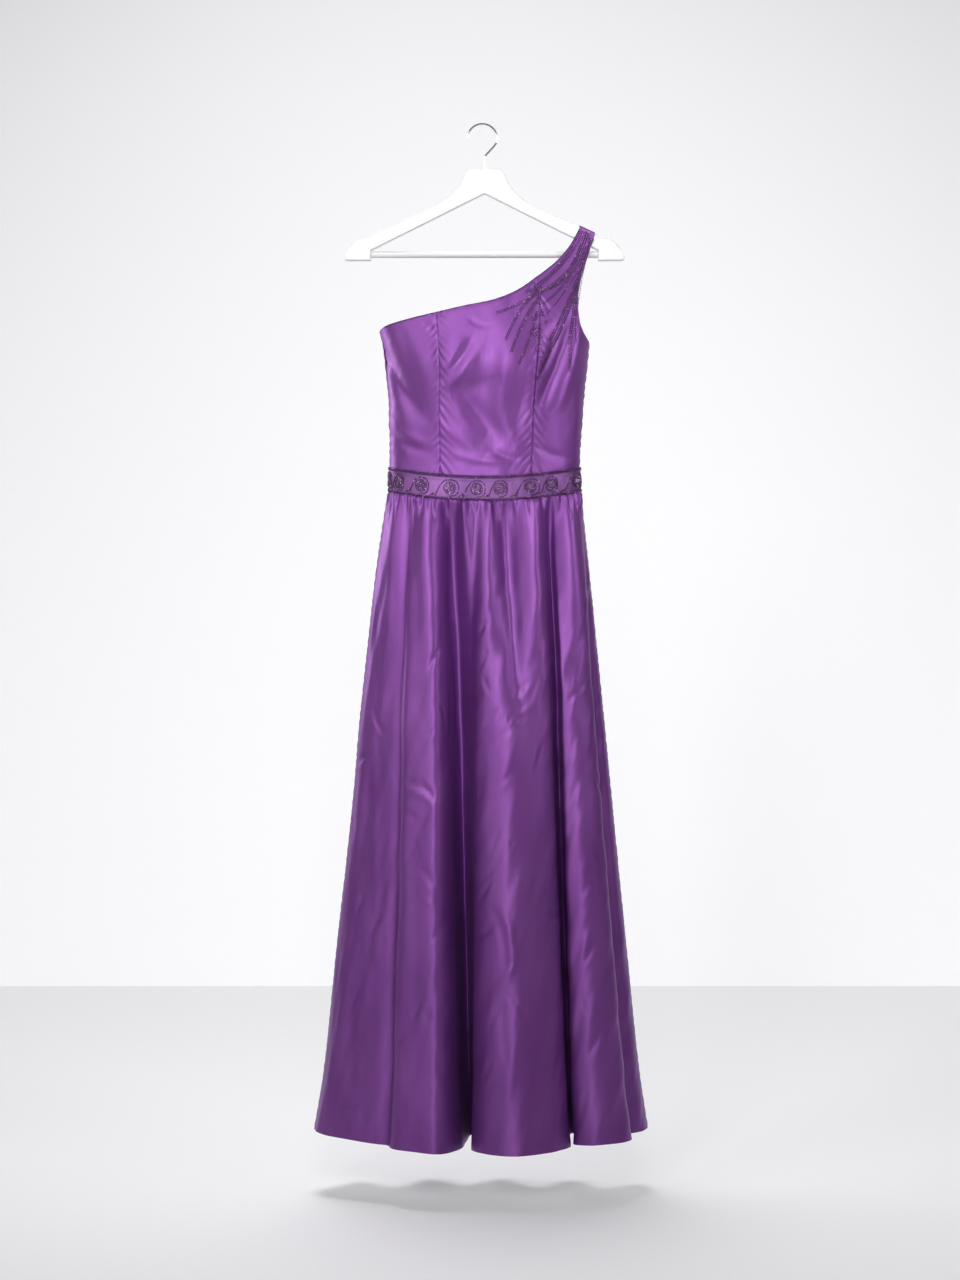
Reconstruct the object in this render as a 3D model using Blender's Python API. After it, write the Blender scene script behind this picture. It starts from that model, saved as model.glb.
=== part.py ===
"""One-shoulder evening dress in satin, hanging by its strap on a hanger.

Metres, +Z up. The origin is the inner top of the hanger's hook, where a rod carries it.
The front of the dress faces -Y, and left and right are those of someone looking at it.
"""

import math

import bmesh
import bpy
import numpy as np
from mathutils import Vector

# Driving dimensions
CLOTH_WALL = 0.0016
BAND_WALL = 0.0022
SEAM_GAP = 0.0003
HANGER_THICKNESS = 0.012
HANGER_EDGE = 0.0025
WIRE_RADIUS = 0.0015

# Horizontal sections of the bodice and the band. Above the underarm the sides are virtual:
# they only shape the curve that the strap is cut from.
# name, height, left side, right side, front depth, back depth
BODY_SECTIONS = (
    ("band foot", -0.600, -0.148, 0.156, 0.060, 0.060),
    ("waist", -0.541, -0.146, 0.1535, 0.060, 0.058),
    ("under bust", -0.446, -0.147, 0.159, 0.069, 0.057),
    ("bust", -0.385, -0.153, 0.165, 0.073, 0.055),
    ("underarm", -0.335, -0.160, 0.171, 0.068, 0.050),
    ("upper chest", -0.290, -0.184, 0.196, 0.056, 0.040),
    ("collar bone", -0.240, -0.236, 0.244, 0.032, 0.024),
    ("below the arm", -0.200, -0.416, 0.424, 0.0115, 0.0105),
    ("on the arm", -0.190, -0.596, 0.604, 0.0085, 0.0085),
    ("strap top", -0.150, -0.596, 0.604, 0.0085, 0.0085),
)
BUST_RISE = 0.014
BUST_OFFSET = 0.062
BUST_HEIGHT = -0.385
BUST_HALF_WIDTH = 0.045
BUST_HALF_HEIGHT = 0.050

# Edges and seams of the front. Each is a curve through its rows.
# height, x
PRINCESS_LEFT = ((-0.560, -0.0655), (-0.455, -0.0667), (-0.379, -0.0677), (-0.300, -0.0704))
PRINCESS_RIGHT = (
    (-0.560, 0.0765), (-0.472, 0.0795), (-0.411, 0.0835),
    (-0.331, 0.0894), (-0.282, 0.0905), (-0.248, 0.0795),
)
ARMHOLE_FRONT = (
    (-0.345, 0.1700), (-0.331, 0.1598), (-0.314, 0.1531), (-0.289, 0.1503),
    (-0.267, 0.1505), (-0.244, 0.1543), (-0.226, 0.1600), (-0.203, 0.1674), (-0.170, 0.1782),
)
ARMHOLE_BACK = (
    (-0.345, 0.1700), (-0.331, 0.1600), (-0.314, 0.1545), (-0.289, 0.1520),
    (-0.267, 0.1522), (-0.244, 0.1556), (-0.226, 0.1605), (-0.203, 0.1674), (-0.170, 0.1782),
)
# x, height
NECKLINE_FRONT = (
    (-0.170, -0.3300), (-0.154, -0.3205), (-0.112, -0.3098), (-0.070, -0.3007),
    (-0.029, -0.2913), (0.013, -0.2826), (0.032, -0.2763), (0.059, -0.2626),
    (0.082, -0.2453), (0.104, -0.2279), (0.122, -0.2107), (0.139, -0.1883),
    (0.152, -0.1653), (0.155, -0.1593),
)
NECKLINE_BACK = (
    (-0.170, -0.3300), (-0.154, -0.3235), (-0.110, -0.3340), (-0.060, -0.3390),
    (0.004, -0.3370), (0.050, -0.3220), (0.090, -0.2920), (0.120, -0.2560),
    (0.141, -0.2180), (0.151, -0.1850), (0.155, -0.1593),
)
CENTRE_BACK_X = 0.004
NECK_FRONT = -0.248
NECK_BACK = -0.337
UNDERARM_HEIGHT = -0.345
STRAP_INNER_X = 0.155
STRAP_TOP = -0.1593
STRAP_SLOPE = -0.457

# How the strap turns over the hanger's arm, from this far below its top line: distance
# from the middle of the arm, depth below the top line, and how far the cloth faces up.
# name, y, drop, lean
STRAP_TURN_START = 0.0040
STRAP_TURN = (
    ("turn", 0.0077, 0.0008, math.radians(45.0)),
    ("top edge", 0.0058, 0.0, math.radians(80.0)),
    ("ridge", SEAM_GAP / 2.0, 0.0, math.radians(90.0)),
)

# The largest soft folds of the bodice front, as troughs.
# name, x and height of the upper end, x and height of the lower end, depth, half width
BODICE_FOLDS = (
    ("left diagonal", -0.150, -0.350, -0.085, -0.470, 0.0035, 0.016),
    ("under left bust", -0.050, -0.425, 0.030, -0.405, 0.0030, 0.016),
    ("right diagonal", 0.125, -0.310, 0.088, -0.455, 0.0040, 0.014),
)

# Waistband
BAND_TOP = -0.5415
BAND_HEIGHT = 0.0355
BAND_FRONT_DIP = 0.0172
BAND_PROUD = 0.0006
CORD_RISE = 0.0008
ROSETTE_RISE = 0.0014
ROSETTE_HALF_SHARE = 0.030
BAND_COLUMNS = 56
# Shares of the way round each half where the middles of its rosettes are
ROSETTES_FRONT = (0.030, 0.154, 0.272, 0.382, 0.473, 0.549, 0.654, 0.739, 0.900)
ROSETTES_BACK = (0.060, 0.175, 0.285, 0.390, 0.485, 0.580, 0.680, 0.790, 0.905)
# name, share of the band's height from its top, rise of the outer face
BAND_ROWS = (
    ("top edge", 0.00, 0.0), ("upper cord", 0.06, CORD_RISE), ("upper field", 0.20, 0.0),
    ("middle", 0.50, 0.0), ("lower field", 0.80, 0.0), ("lower cord", 0.94, CORD_RISE),
    ("bottom edge", 1.00, 0.0),
)

# Skirt. Place runs round the waist: 0 left seam, 1 right seam, 2 left seam again.
# The other columns are where the hem of that ridge, edge or valley hangs.
# name, place, x, y
SKIRT_FOLDS = (
    ("left seam", 0.000, -0.266, 0.032),
    ("first fold, outer", 0.060, -0.256, -0.004),
    ("first fold, ridge", 0.130, -0.210, -0.036),
    ("first fold, inner", 0.190, -0.164, -0.060),
    ("tuck behind second", 0.214, -0.1455, -0.066),
    ("second fold, edge", 0.230, -0.1415, -0.083),
    ("second fold, shoulder", 0.270, -0.104, -0.106),
    ("second fold, ridge", 0.315, -0.070, -0.117),
    ("second fold, inner", 0.345, -0.034, -0.070),
    ("left valley, wall", 0.362, -0.027, -0.022),
    ("left valley, bottom", 0.400, -0.017, 0.048),
    ("left valley, far wall", 0.448, -0.009, -0.022),
    ("third fold, edge", 0.486, -0.015, -0.074),
    ("third fold, shoulder", 0.515, 0.008, -0.104),
    ("third fold, ridge", 0.555, 0.046, -0.121),
    ("third fold, flat", 0.620, 0.094, -0.104),
    ("third fold, inner", 0.690, 0.134, -0.064),
    ("right valley, wall", 0.712, 0.134, -0.005),
    ("right valley, bottom", 0.730, 0.143, 0.044),
    ("right valley, far wall", 0.748, 0.151, -0.005),
    ("fourth fold, edge", 0.764, 0.144, -0.054),
    ("fourth fold, ridge", 0.805, 0.168, -0.070),
    ("fourth fold, inner", 0.885, 0.233, -0.038),
    ("tuck behind fourth", 0.915, 0.225, -0.008),
    ("fifth fold", 0.955, 0.251, 0.006),
    ("right seam", 1.000, 0.263, 0.038),
    ("back fold one", 1.090, 0.236, 0.092),
    ("back valley one", 1.170, 0.186, 0.066),
    ("back fold two", 1.270, 0.132, 0.122),
    ("back valley two", 1.370, 0.082, 0.072),
    ("back fold three", 1.470, 0.022, 0.132),
    ("back valley three", 1.560, -0.030, 0.088),
    ("back fold four", 1.660, -0.092, 0.128),
    ("back valley four", 1.760, -0.142, 0.070),
    ("back fold five", 1.870, -0.202, 0.108),
    ("back valley five", 1.940, -0.238, 0.070),
)
HEM_HEIGHT = -1.5835
HEM_FRONT_DIP = 0.0165
# Softer folds that lie between the large ones and die out further down.
# name, place at the top, place at the foot, rise, half width, share of the drop at the foot
SOFT_FOLDS = (
    ("left front ridge", 0.160, 0.150, 0.005, 0.016, 0.30),
    ("left soft valley", 0.232, 0.236, -0.005, 0.012, 0.34),
    ("left edge of the valley", 0.300, 0.300, 0.007, 0.014, 0.30),
    ("left valley's top", 0.362, 0.390, -0.013, 0.014, 0.30),
    ("short ridge", 0.436, 0.430, 0.009, 0.009, 0.22),
    ("narrow valley", 0.468, 0.466, -0.006, 0.007, 0.40),
    ("centre ridge", 0.512, 0.500, 0.008, 0.011, 0.36),
    ("middle valley", 0.572, 0.574, -0.014, 0.014, 0.36),
    ("middle ridge", 0.664, 0.668, 0.012, 0.015, 0.36),
    ("right valley's top", 0.742, 0.736, -0.013, 0.013, 0.28),
    ("fourth fold's top", 0.826, 0.820, 0.006, 0.012, 0.26),
    ("right side ridge", 0.900, 0.900, 0.004, 0.014, 0.28),
    ("back ridge one", 1.120, 1.110, 0.005, 0.014, 0.32),
    ("back valley one", 1.230, 1.235, -0.006, 0.013, 0.36),
    ("back ridge two", 1.420, 1.425, 0.005, 0.014, 0.28),
    ("back valley two", 1.520, 1.515, -0.006, 0.012, 0.38),
    ("back ridge three", 1.710, 1.715, 0.006, 0.013, 0.30),
    ("back valley three", 1.820, 1.825, -0.005, 0.014, 0.34),
)
# A soft fold starts low at the band, is highest at about a third of its length and ends flat.
FOLD_START = 0.005
FOLD_POWER = 0.6
# How far out the skirt has come, as a share of its flare, on each side.
# share of the drop, left, right
SKIRT_FLARE = (
    (0.00, 0.000, 0.000), (0.06, 0.095, 0.065), (0.14, 0.190, 0.145), (0.24, 0.285, 0.240),
    (0.36, 0.395, 0.355), (0.48, 0.480, 0.465), (0.71, 0.698, 0.680), (0.905, 0.870, 0.870),
    (1.00, 1.000, 1.000),
)
WAIST_ARC = 0.345
GATHERS = 48
GATHER_RISE = 0.0022
GATHER_PEAK = 0.016
GATHER_COLUMNS = 4
GATHER_ROWS = (0.0, 0.008, 0.020, 0.038, 0.060)
SKIRT_ROWS = (0.088, 0.14, 0.21, 0.30, 0.40, 0.52, 0.65, 0.78, 0.91)
HEM_COLUMN = 0.019

# Hanger, right half of its outline seen from the front, from the neck's top round to the
# foot of the arm. Offsets are from the middle of the neck.
# name, offset, height
HANGER_X = 0.0036
HANGER_OUTLINE = (
    ("neck top", 0.0190, -0.0700), ("neck corner", 0.0262, -0.0716),
    ("neck side", 0.0305, -0.0765), ("neck waist", 0.0353, -0.0889),
    ("shoulder", 0.0447, -0.1031), ("shoulder foot", 0.0573, -0.1157),
    ("arm start", 0.0700, -0.1252), ("arm", 0.0841, -0.1316), ("strap end", 0.1750, -0.1720),
    ("notch side", 0.1785, -0.1765), ("notch", 0.1810, -0.1788), ("hump start", 0.1845, -0.1785),
    ("hump", 0.1910, -0.1778), ("tip curve", 0.1990, -0.1808), ("tip curve 2", 0.2090, -0.1888),
    ("tip side", 0.2171, -0.1991), ("tip", 0.2205, -0.2085), ("tip foot", 0.2196, -0.2130),
    ("tip corner", 0.2150, -0.2145), ("foot", 0.1786, -0.2145), ("foot inside", 0.1786, -0.1987),
)
HANGER_APEX = -0.1094
BAR_RADIUS = 0.0053
BAR_HEIGHT = -0.2044
STEM_HOLE_RADIUS = 0.0018
STEM_HOLE_DEPTH = 0.026

# Hook: an arc over the rod, then a swan neck down to the stem.
HOOK_RADIUS = 0.0236
HOOK_START = math.radians(174.0)
HOOK_END = math.radians(-14.0)
HOOK_ARC_STEPS = 15
# x, height
HOOK_NECK = ((0.0190, -0.0330), (0.0118, -0.0412), (0.0056, -0.0478), (0.0037, -0.0525))
STEM_END = -0.0925

# name, colour, roughness, metallic
MATERIALS = (
    ("purple satin", (0.150, 0.042, 0.250), 0.38, 0.0),
    ("beaded band", (0.125, 0.040, 0.205), 0.45, 0.0),
    ("white lacquer", (0.86, 0.86, 0.86), 0.35, 0.0),
    ("bright steel", (0.62, 0.62, 0.63), 0.25, 1.0),
)


def clear_scene():
    """Remove every object that is already in the file."""
    for old in list(bpy.data.objects):
        bpy.data.objects.remove(old, do_unlink=True)


def make_collections():
    """Return the dress's collection and the one for its cutters."""
    dress = bpy.data.collections.new("one_shoulder_dress")
    cutters = bpy.data.collections.new("cutters")
    bpy.context.scene.collection.children.link(dress)
    bpy.context.scene.collection.children.link(cutters)
    return dress, cutters


def make_material(name):
    """Return a new Principled material with the named row's values."""
    colour, roughness, metallic = next(row[1:] for row in MATERIALS if row[0] == name)
    material = bpy.data.materials.new(name)
    material.use_nodes = True
    shader = material.node_tree.nodes["Principled BSDF"]
    shader.inputs["Base Color"].default_value = (*colour, 1.0)
    shader.inputs["Roughness"].default_value = roughness
    shader.inputs["Metallic"].default_value = metallic
    material.diffuse_color = (*colour, 1.0)
    return material


def even_curve(keys, values, at):
    """Value at a key on a curve through the rows that never overshoots them."""
    keys = np.asarray(keys, dtype=float)
    values = np.asarray(values, dtype=float)
    at = min(max(at, keys[0]), keys[-1])
    secants = np.diff(values) / np.diff(keys)
    slopes = np.zeros(len(keys))
    slopes[0] = secants[0]
    slopes[-1] = secants[-1]
    for row in range(1, len(keys) - 1):
        before, after = secants[row - 1], secants[row]
        if before * after > 0.0:
            slopes[row] = 2.0 * before * after / (before + after)
    row = int(min(np.searchsorted(keys, at, side="right"), len(keys) - 1)) - 1
    span = keys[row + 1] - keys[row]
    f = (at - keys[row]) / span
    return (
        values[row] * (1.0 + 2.0 * f) * (1.0 - f) ** 2
        + span * slopes[row] * f * (1.0 - f) ** 2
        + values[row + 1] * f * f * (3.0 - 2.0 * f)
        + span * slopes[row + 1] * f * f * (f - 1.0)
    )


def line_at(rows, at):
    """Second column of a two-column table at a value of the first."""
    return even_curve([row[0] for row in rows], [row[1] for row in rows], at)


def neckline_x(rows, height):
    """x of a neckline at a height, on its rising part."""
    rising = rows[1:] if rows[1][1] < rows[2][1] else rows[3:]
    return even_curve([row[1] for row in rising], [row[0] for row in rising], height)


def section_at(height):
    """Middle, half width, front depth and back depth of the body at a height."""
    heights = [row[1] for row in BODY_SECTIONS]
    left, right, front, back = (
        even_curve(heights, [row[column] for row in BODY_SECTIONS], height)
        for column in (2, 3, 4, 5)
    )
    return (left + right) / 2.0, (right - left) / 2.0, front, back


def fold_depth(x, height):
    """How deep the bodice's soft folds are at a place on its front."""
    depth = 0.0
    for _, x_top, z_top, x_low, z_low, fold, half_width in BODICE_FOLDS:
        start = Vector((x_top, z_top))
        run = Vector((x_low, z_low)) - start
        along = (Vector((x, height)) - start).dot(run) / run.length_squared
        nearest = start + run * min(max(along, 0.0), 1.0)
        distance = (Vector((x, height)) - nearest).length
        ends = math.sin(math.pi * min(max(along, 0.0), 1.0)) ** 0.5
        depth += fold * ends * math.exp(-(distance / half_width) ** 2)
    return depth


def body_point(side, angle, height):
    """Point of the bodice: side -1 front or 1 back, angle 0 left seam to pi right seam."""
    middle, half_width, front, back = section_at(height)
    x = middle - half_width * math.cos(angle)
    across = math.sin(angle)
    if side > 0:
        return Vector((x, back * across, height))
    depth = front * across
    for bust in (-BUST_OFFSET, BUST_OFFSET):
        away = ((x - middle - bust) / BUST_HALF_WIDTH) ** 2
        away += ((height - BUST_HEIGHT) / BUST_HALF_HEIGHT) ** 2
        depth += BUST_RISE * math.exp(-away) * across ** 2
    depth -= fold_depth(x, height) * across
    return Vector((x, -depth, height))


def angle_of(x, height):
    """Angle round the body of a place given by its x."""
    middle, half_width, _, _ = section_at(height)
    return math.acos(min(max((middle - x) / half_width, -1.0), 1.0))


def band_top(side, angle):
    """Height of the band's top edge, which dips at the centre front."""
    dip = BAND_FRONT_DIP if side < 0 else 0.0
    return BAND_TOP - dip * math.sin(angle) ** 1.8


def strap_top(x):
    """Height of the strap's top, which follows the slope of the hanger's arm."""
    return STRAP_TOP + STRAP_SLOPE * (x - STRAP_INNER_X)


def left_side(height):
    """Angle of the left side seam."""
    return 0.0


def princess_left(height):
    """Angle of the left princess seam."""
    return angle_of(line_at(PRINCESS_LEFT, height), height)


def princess_right(height):
    """Angle of the right princess seam, and of the neckline above it."""
    if height < PRINCESS_RIGHT[-1][0]:
        return angle_of(line_at(PRINCESS_RIGHT, height), height)
    return angle_of(neckline_x(NECKLINE_FRONT, height), height)


def centre_back(height):
    """Angle of the centre back seam."""
    return angle_of(CENTRE_BACK_X, height)


def centre_back_and_neck(height):
    """Angle of the centre back seam, and of the back neckline above it."""
    if height < line_at(NECKLINE_BACK, CENTRE_BACK_X):
        return centre_back(height)
    return angle_of(neckline_x(NECKLINE_BACK, height), height)


def right_side_front(height):
    """Angle of the right side seam, and of the front armhole above it."""
    if height < UNDERARM_HEIGHT:
        return math.pi
    return angle_of(line_at(ARMHOLE_FRONT, height), height)


def right_side_back(height):
    """Angle of the right side seam, and of the back armhole above it."""
    if height < UNDERARM_HEIGHT:
        return math.pi
    return angle_of(line_at(ARMHOLE_BACK, height), height)


# Panels that meet at a seam have their rows at the same heights along it. On a panel with
# half of the strap the left edge has a corner at the neckline, and the right edge has one
# at the underarm.
# name, side, left edge, right edge, top edge, columns, height of the neck corner, underarm row
PANELS = (
    ("bodice_front_left", -1, left_side, princess_left, NECKLINE_FRONT, 7, None, None),
    ("bodice_front_centre", -1, princess_left, princess_right, NECKLINE_FRONT, 10, None, None),
    ("bodice_front_right", -1, princess_right, right_side_front, None, 8, NECK_FRONT, 9),
    ("bodice_back_left", 1, left_side, centre_back, NECKLINE_BACK, 10, None, None),
    ("bodice_back_right", 1, centre_back_and_neck, right_side_back, None, 10, NECK_BACK, 13),
)
PANEL_ROWS = 13
STRAP_ROWS = 6


def settle_height(side, left, right, across, edge):
    """Height where a panel's column meets an edge that is given by its x."""
    height = -0.3
    for _ in range(20):
        angle = left(height) * (1.0 - across) + right(height) * across
        target = edge(side, angle, body_point(side, angle, height).x)
        height += 0.7 * (target - height)
    return height


def panel_ends(panel, across):
    """Heights of the foot and the head of a panel's column."""
    _, side, left, right, top, *_ = panel
    foot = settle_height(side, left, right, across, lambda s, a, x: band_top(s, a) + SEAM_GAP)
    if top is None:
        head = settle_height(side, left, right, across, lambda s, a, x: strap_top(x))
        return foot, head - STRAP_TURN_START
    return foot, settle_height(side, left, right, across, lambda s, a, x: line_at(top, x))


def corner_shares(corner_share, corner_row, row_count):
    """Shares of a column's length at each row, with one row at the column's corner."""
    below = [corner_share * row / corner_row for row in range(corner_row)]
    rows_above = row_count - corner_row
    above = [corner_share + (1.0 - corner_share) * row / rows_above for row in range(rows_above)]
    return below + above + [1.0]


def row_shares(panel):
    """Shares of the left and right edges' lengths at each row of a panel."""
    *_, neck_height, underarm_row = panel
    if neck_height is None:
        even = [row / PANEL_ROWS for row in range(PANEL_ROWS + 1)]
        return list(zip(even, even))
    row_count = PANEL_ROWS + STRAP_ROWS
    left_foot, left_head = panel_ends(panel, 0.0)
    right_foot, right_head = panel_ends(panel, 1.0)
    neck = (neck_height - left_foot) / (left_head - left_foot)
    underarm = (UNDERARM_HEIGHT - right_foot) / (right_head - right_foot)
    return list(zip(
        corner_shares(neck, PANEL_ROWS, row_count),
        corner_shares(underarm, underarm_row, row_count),
    ))


def panel_place(panel, across, shares):
    """Angle and height of a place on a bodice panel, on the row with these end shares."""
    _, _, left, right, *_ = panel
    foot, head = panel_ends(panel, across)
    share = shares[0] + (shares[1] - shares[0]) * across
    height = foot + (head - foot) * share
    return left(height) * (1.0 - across) + right(height) * across, height


def stops(curve, count):
    """Shares along a row: even steps, with half a seam's gap left at each end."""
    tiny = 1e-3
    start_speed = (curve(tiny) - curve(0.0)).length / tiny
    end_speed = (curve(1.0) - curve(1.0 - tiny)).length / tiny
    first = SEAM_GAP / 2.0 / start_speed
    last = 1.0 - SEAM_GAP / 2.0 / end_speed
    return [first] + [step / count for step in range(1, count)] + [last]


def zip_rows(lower, upper):
    """Faces between two rows: quads, or triangles where one row has more points."""
    if len(lower) == len(upper):
        return [
            (lower[i], lower[i + 1], upper[i + 1], upper[i]) for i in range(len(lower) - 1)
        ]
    faces = []
    i = j = 0
    while i < len(lower) - 1 or j < len(upper) - 1:
        lower_share = (i + 1) / (len(lower) - 1)
        upper_share = (j + 1) / (len(upper) - 1)
        if lower_share <= upper_share:
            faces.append((lower[i], lower[i + 1], upper[j]))
            i += 1
        else:
            faces.append((lower[i], upper[j + 1], upper[j]))
            j += 1
    return faces


def wall_mesh(name, outer, inner):
    """Closed wall between two sheets of points, given as rows of the same lengths."""
    mesh = bpy.data.meshes.new(name)
    form = bmesh.new()
    sheets = [[[form.verts.new(point) for point in row] for row in rows] for rows in (outer, inner)]
    for sheet in sheets:
        for lower, upper in zip(sheet, sheet[1:]):
            for corners in zip_rows(lower, upper):
                form.faces.new(corners)
    rims = []
    for sheet in sheets:
        rims.append(
            sheet[0] + [row[-1] for row in sheet[1:]]
            + sheet[-1][-2::-1] + [row[0] for row in sheet[-2:0:-1]]
        )
    count = len(rims[0])
    for here in range(count):
        after = (here + 1) % count
        form.faces.new((rims[0][here], rims[0][after], rims[1][after], rims[1][here]))
    bmesh.ops.recalc_face_normals(form, faces=form.faces)
    form.to_mesh(mesh)
    form.free()
    mesh.shade_smooth()
    mesh.set_sharp_from_angle(angle=math.radians(60.0))
    return mesh


def add_object(collection, name, mesh, material):
    """Place a mesh in the dress's collection under its own name."""
    piece = bpy.data.objects.new(name, mesh)
    piece.data.materials.append(make_material(material))
    collection.objects.link(piece)
    return piece


def add_wall(collection, name, points, normals, wall, material, lift=0.0):
    """A panel of cloth: its outer points, and inner ones a wall's thickness behind them."""
    outer, inner = [], []
    for point_row, normal_row in zip(points, normals):
        outer.append([p + n * lift for p, n in zip(point_row, normal_row)])
        inner.append([p + n * (lift - wall) for p, n in zip(point_row, normal_row)])
    return add_object(collection, name, wall_mesh(name, outer, inner), material)


def body_normal(side, angle, height):
    """Outward direction of the body's surface."""
    step = 1e-4
    round_it = body_point(side, angle + step, height) - body_point(side, angle - step, height)
    up_it = body_point(side, angle, height + step) - body_point(side, angle, height - step)
    normal = round_it.cross(up_it).normalized()
    return normal if side < 0 else -normal


def add_bodice_panel(collection, panel):
    """One panel of the bodice, with its half of the strap where it has one."""
    name, side, _, _, top, columns, _, _ = panel
    points, normals = [], []
    for shares in row_shares(panel):
        def point_at(across):
            return body_point(side, *panel_place(panel, across, shares))

        places = [panel_place(panel, across, shares) for across in stops(point_at, columns)]
        points.append([body_point(side, *spot) for spot in places])
        normals.append([body_normal(side, *spot) for spot in places])
    if top is None:
        for _, y, drop, lean in STRAP_TURN:
            points.append([Vector((p.x, side * y, strap_top(p.x) - drop)) for p in points[-1]])
            turned = Vector((0.0, side * math.cos(lean), math.sin(lean)))
            normals.append([turned] * len(points[-1]))
    return add_wall(collection, name, points, normals, CLOTH_WALL, "purple satin")


def add_band(collection, name, side):
    """Half of the waistband: plain inside, with cord edges and bead rosettes raised outside."""
    rosettes = ROSETTES_FRONT if side < 0 else ROSETTES_BACK

    def place(share, row):
        angle = math.pi * share
        return angle, band_top(side, angle) - BAND_HEIGHT * row

    outer, inner = [], []
    for row_name, row, rise in BAND_ROWS:
        stations = stops(lambda share: body_point(side, *place(share, row)), BAND_COLUMNS)
        outer_row, inner_row = [], []
        for share in stations:
            point = body_point(side, *place(share, row))
            normal = body_normal(side, *place(share, row))
            if row_name == "middle":
                nearest = min(abs(share - rosette) for rosette in rosettes)
                swell = math.cos(math.pi / 2.0 * min(nearest / ROSETTE_HALF_SHARE, 1.0))
                rise = ROSETTE_RISE * swell
            outer_row.append(point + normal * (BAND_PROUD + rise))
            inner_row.append(point + normal * (BAND_PROUD - BAND_WALL))
        outer.append(outer_row)
        inner.append(inner_row)
    return add_object(collection, name, wall_mesh(name, outer, inner), "beaded band")


class Skirt:
    """The gathered skirt: straight from each place of the waist to its place in the hem."""

    def __init__(self):
        self.hem = [Vector((row[2], row[3])) for row in SKIRT_FOLDS]
        self.hem.append(self.hem[0])
        places = [row[1] for row in SKIRT_FOLDS] + [2.0]
        lengths = [(b - a).length for a, b in zip(self.hem, self.hem[1:])]
        self.keys = np.concatenate(([0.0], np.cumsum(lengths)))
        self.places = places
        count = len(SKIRT_FOLDS)
        self.tangents = []
        for row in range(count + 1):
            before = self.hem[(row - 1) % count]
            after = self.hem[(row + 1) % count]
            here = self.hem[row % count]
            reach_before = (here - before).length
            reach_after = (after - here).length
            slope = (here - before) * reach_after / reach_before
            slope += (after - here) * reach_before / reach_after
            self.tangents.append(slope / (reach_before + reach_after))
        self.right_seam = self.keys[[row[0] for row in SKIRT_FOLDS].index("right seam")]
        self.dense = np.linspace(0.0, self.keys[-1], 1200)
        self.dense_places = [self.place(key) for key in self.dense]

    def place(self, key):
        """Place round the waist that a length along the hem hangs from."""
        return even_curve(self.keys, self.places, key)

    def key(self, place):
        """Length along the hem of a place round the waist."""
        return float(np.interp(place, self.dense_places, self.dense))

    def hem_point(self, key):
        """Point of the hem curve, seen from above."""
        row = int(min(np.searchsorted(self.keys, key, side="right"), len(self.keys) - 1)) - 1
        span = self.keys[row + 1] - self.keys[row]
        f = (key - self.keys[row]) / span
        return (
            self.hem[row] * (1.0 + 2.0 * f) * (1.0 - f) ** 2
            + self.tangents[row] * span * f * (1.0 - f) ** 2
            + self.hem[row + 1] * f * f * (3.0 - 2.0 * f)
            + self.tangents[row + 1] * span * f * f * (f - 1.0)
        )

    def soft_fold(self, place, drop):
        """How far the softer folds lift the cloth at a place and a share of the drop."""
        lift = 0.0
        for _, top_place, foot_place, rise, half_width, foot in SOFT_FOLDS:
            if drop < foot:
                along = drop / foot
                middle = top_place + (foot_place - top_place) * along
                away = (place - middle) * WAIST_ARC / (half_width * (1.0 + along))
                swell = math.sin(math.pi * (FOLD_START + (1.0 - FOLD_START) * along) ** FOLD_POWER)
                lift += rise * swell * math.exp(-away * away)
        return lift

    def point(self, key, drop):
        """Point of the skirt: drop is the share of the way from the band to the hem."""
        place = self.place(key)
        side = -1 if place <= 1.0 else 1
        angle = math.pi * (place if place <= 1.0 else 2.0 - place)
        top = band_top(side, angle) - BAND_HEIGHT - SEAM_GAP
        front = math.sin(angle) if side < 0 else 0.0
        foot = HEM_HEIGHT - HEM_FRONT_DIP * front
        waist = body_point(side, angle, top)
        hem = self.hem_point(key)
        shares = [row[0] for row in SKIRT_FLARE]
        flare_left = even_curve(shares, [row[1] for row in SKIRT_FLARE], drop)
        flare_right = even_curve(shares, [row[2] for row in SKIRT_FLARE], drop)
        rightward = (1.0 - math.cos(angle)) / 2.0
        flare = flare_left + (flare_right - flare_left) * rightward
        outward = Vector((-math.cos(angle) * 0.4, side * math.sin(angle), 0.0)).normalized()
        below = (top - foot) * drop
        swell = (0.25 + below / GATHER_PEAK) * math.exp(1.0 - below / GATHER_PEAK - 0.25)
        wave = math.sin(math.pi * GATHERS * place + 0.9 * math.sin(7.0 * math.pi * place))
        seam_fade = min(1.0, 6.0 * abs(math.sin(math.pi * place)))
        gather = GATHER_RISE * swell * (1.0 + wave) * seam_fade
        gather += self.soft_fold(place, drop) * seam_fade
        return Vector((
            waist.x + (hem.x - waist.x) * flare + outward.x * gather,
            waist.y + (hem.y - waist.y) * flare + outward.y * gather,
            top + (foot - top) * drop,
        ))

    def normal(self, key, drop):
        """Outward direction of the skirt's surface, kept level at the seam with the band."""
        step = 1e-4
        length = self.keys[-1]
        before = self.point((key - step) % length, drop)
        after = self.point((key + step) % length, drop)
        above = self.point(key, max(drop - step, 0.0))
        below = self.point(key, min(drop + step, 1.0))
        outward = (after - before).cross(above - below)
        if drop == 0.0:
            outward.z = 0.0
        return outward.normalized()


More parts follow.
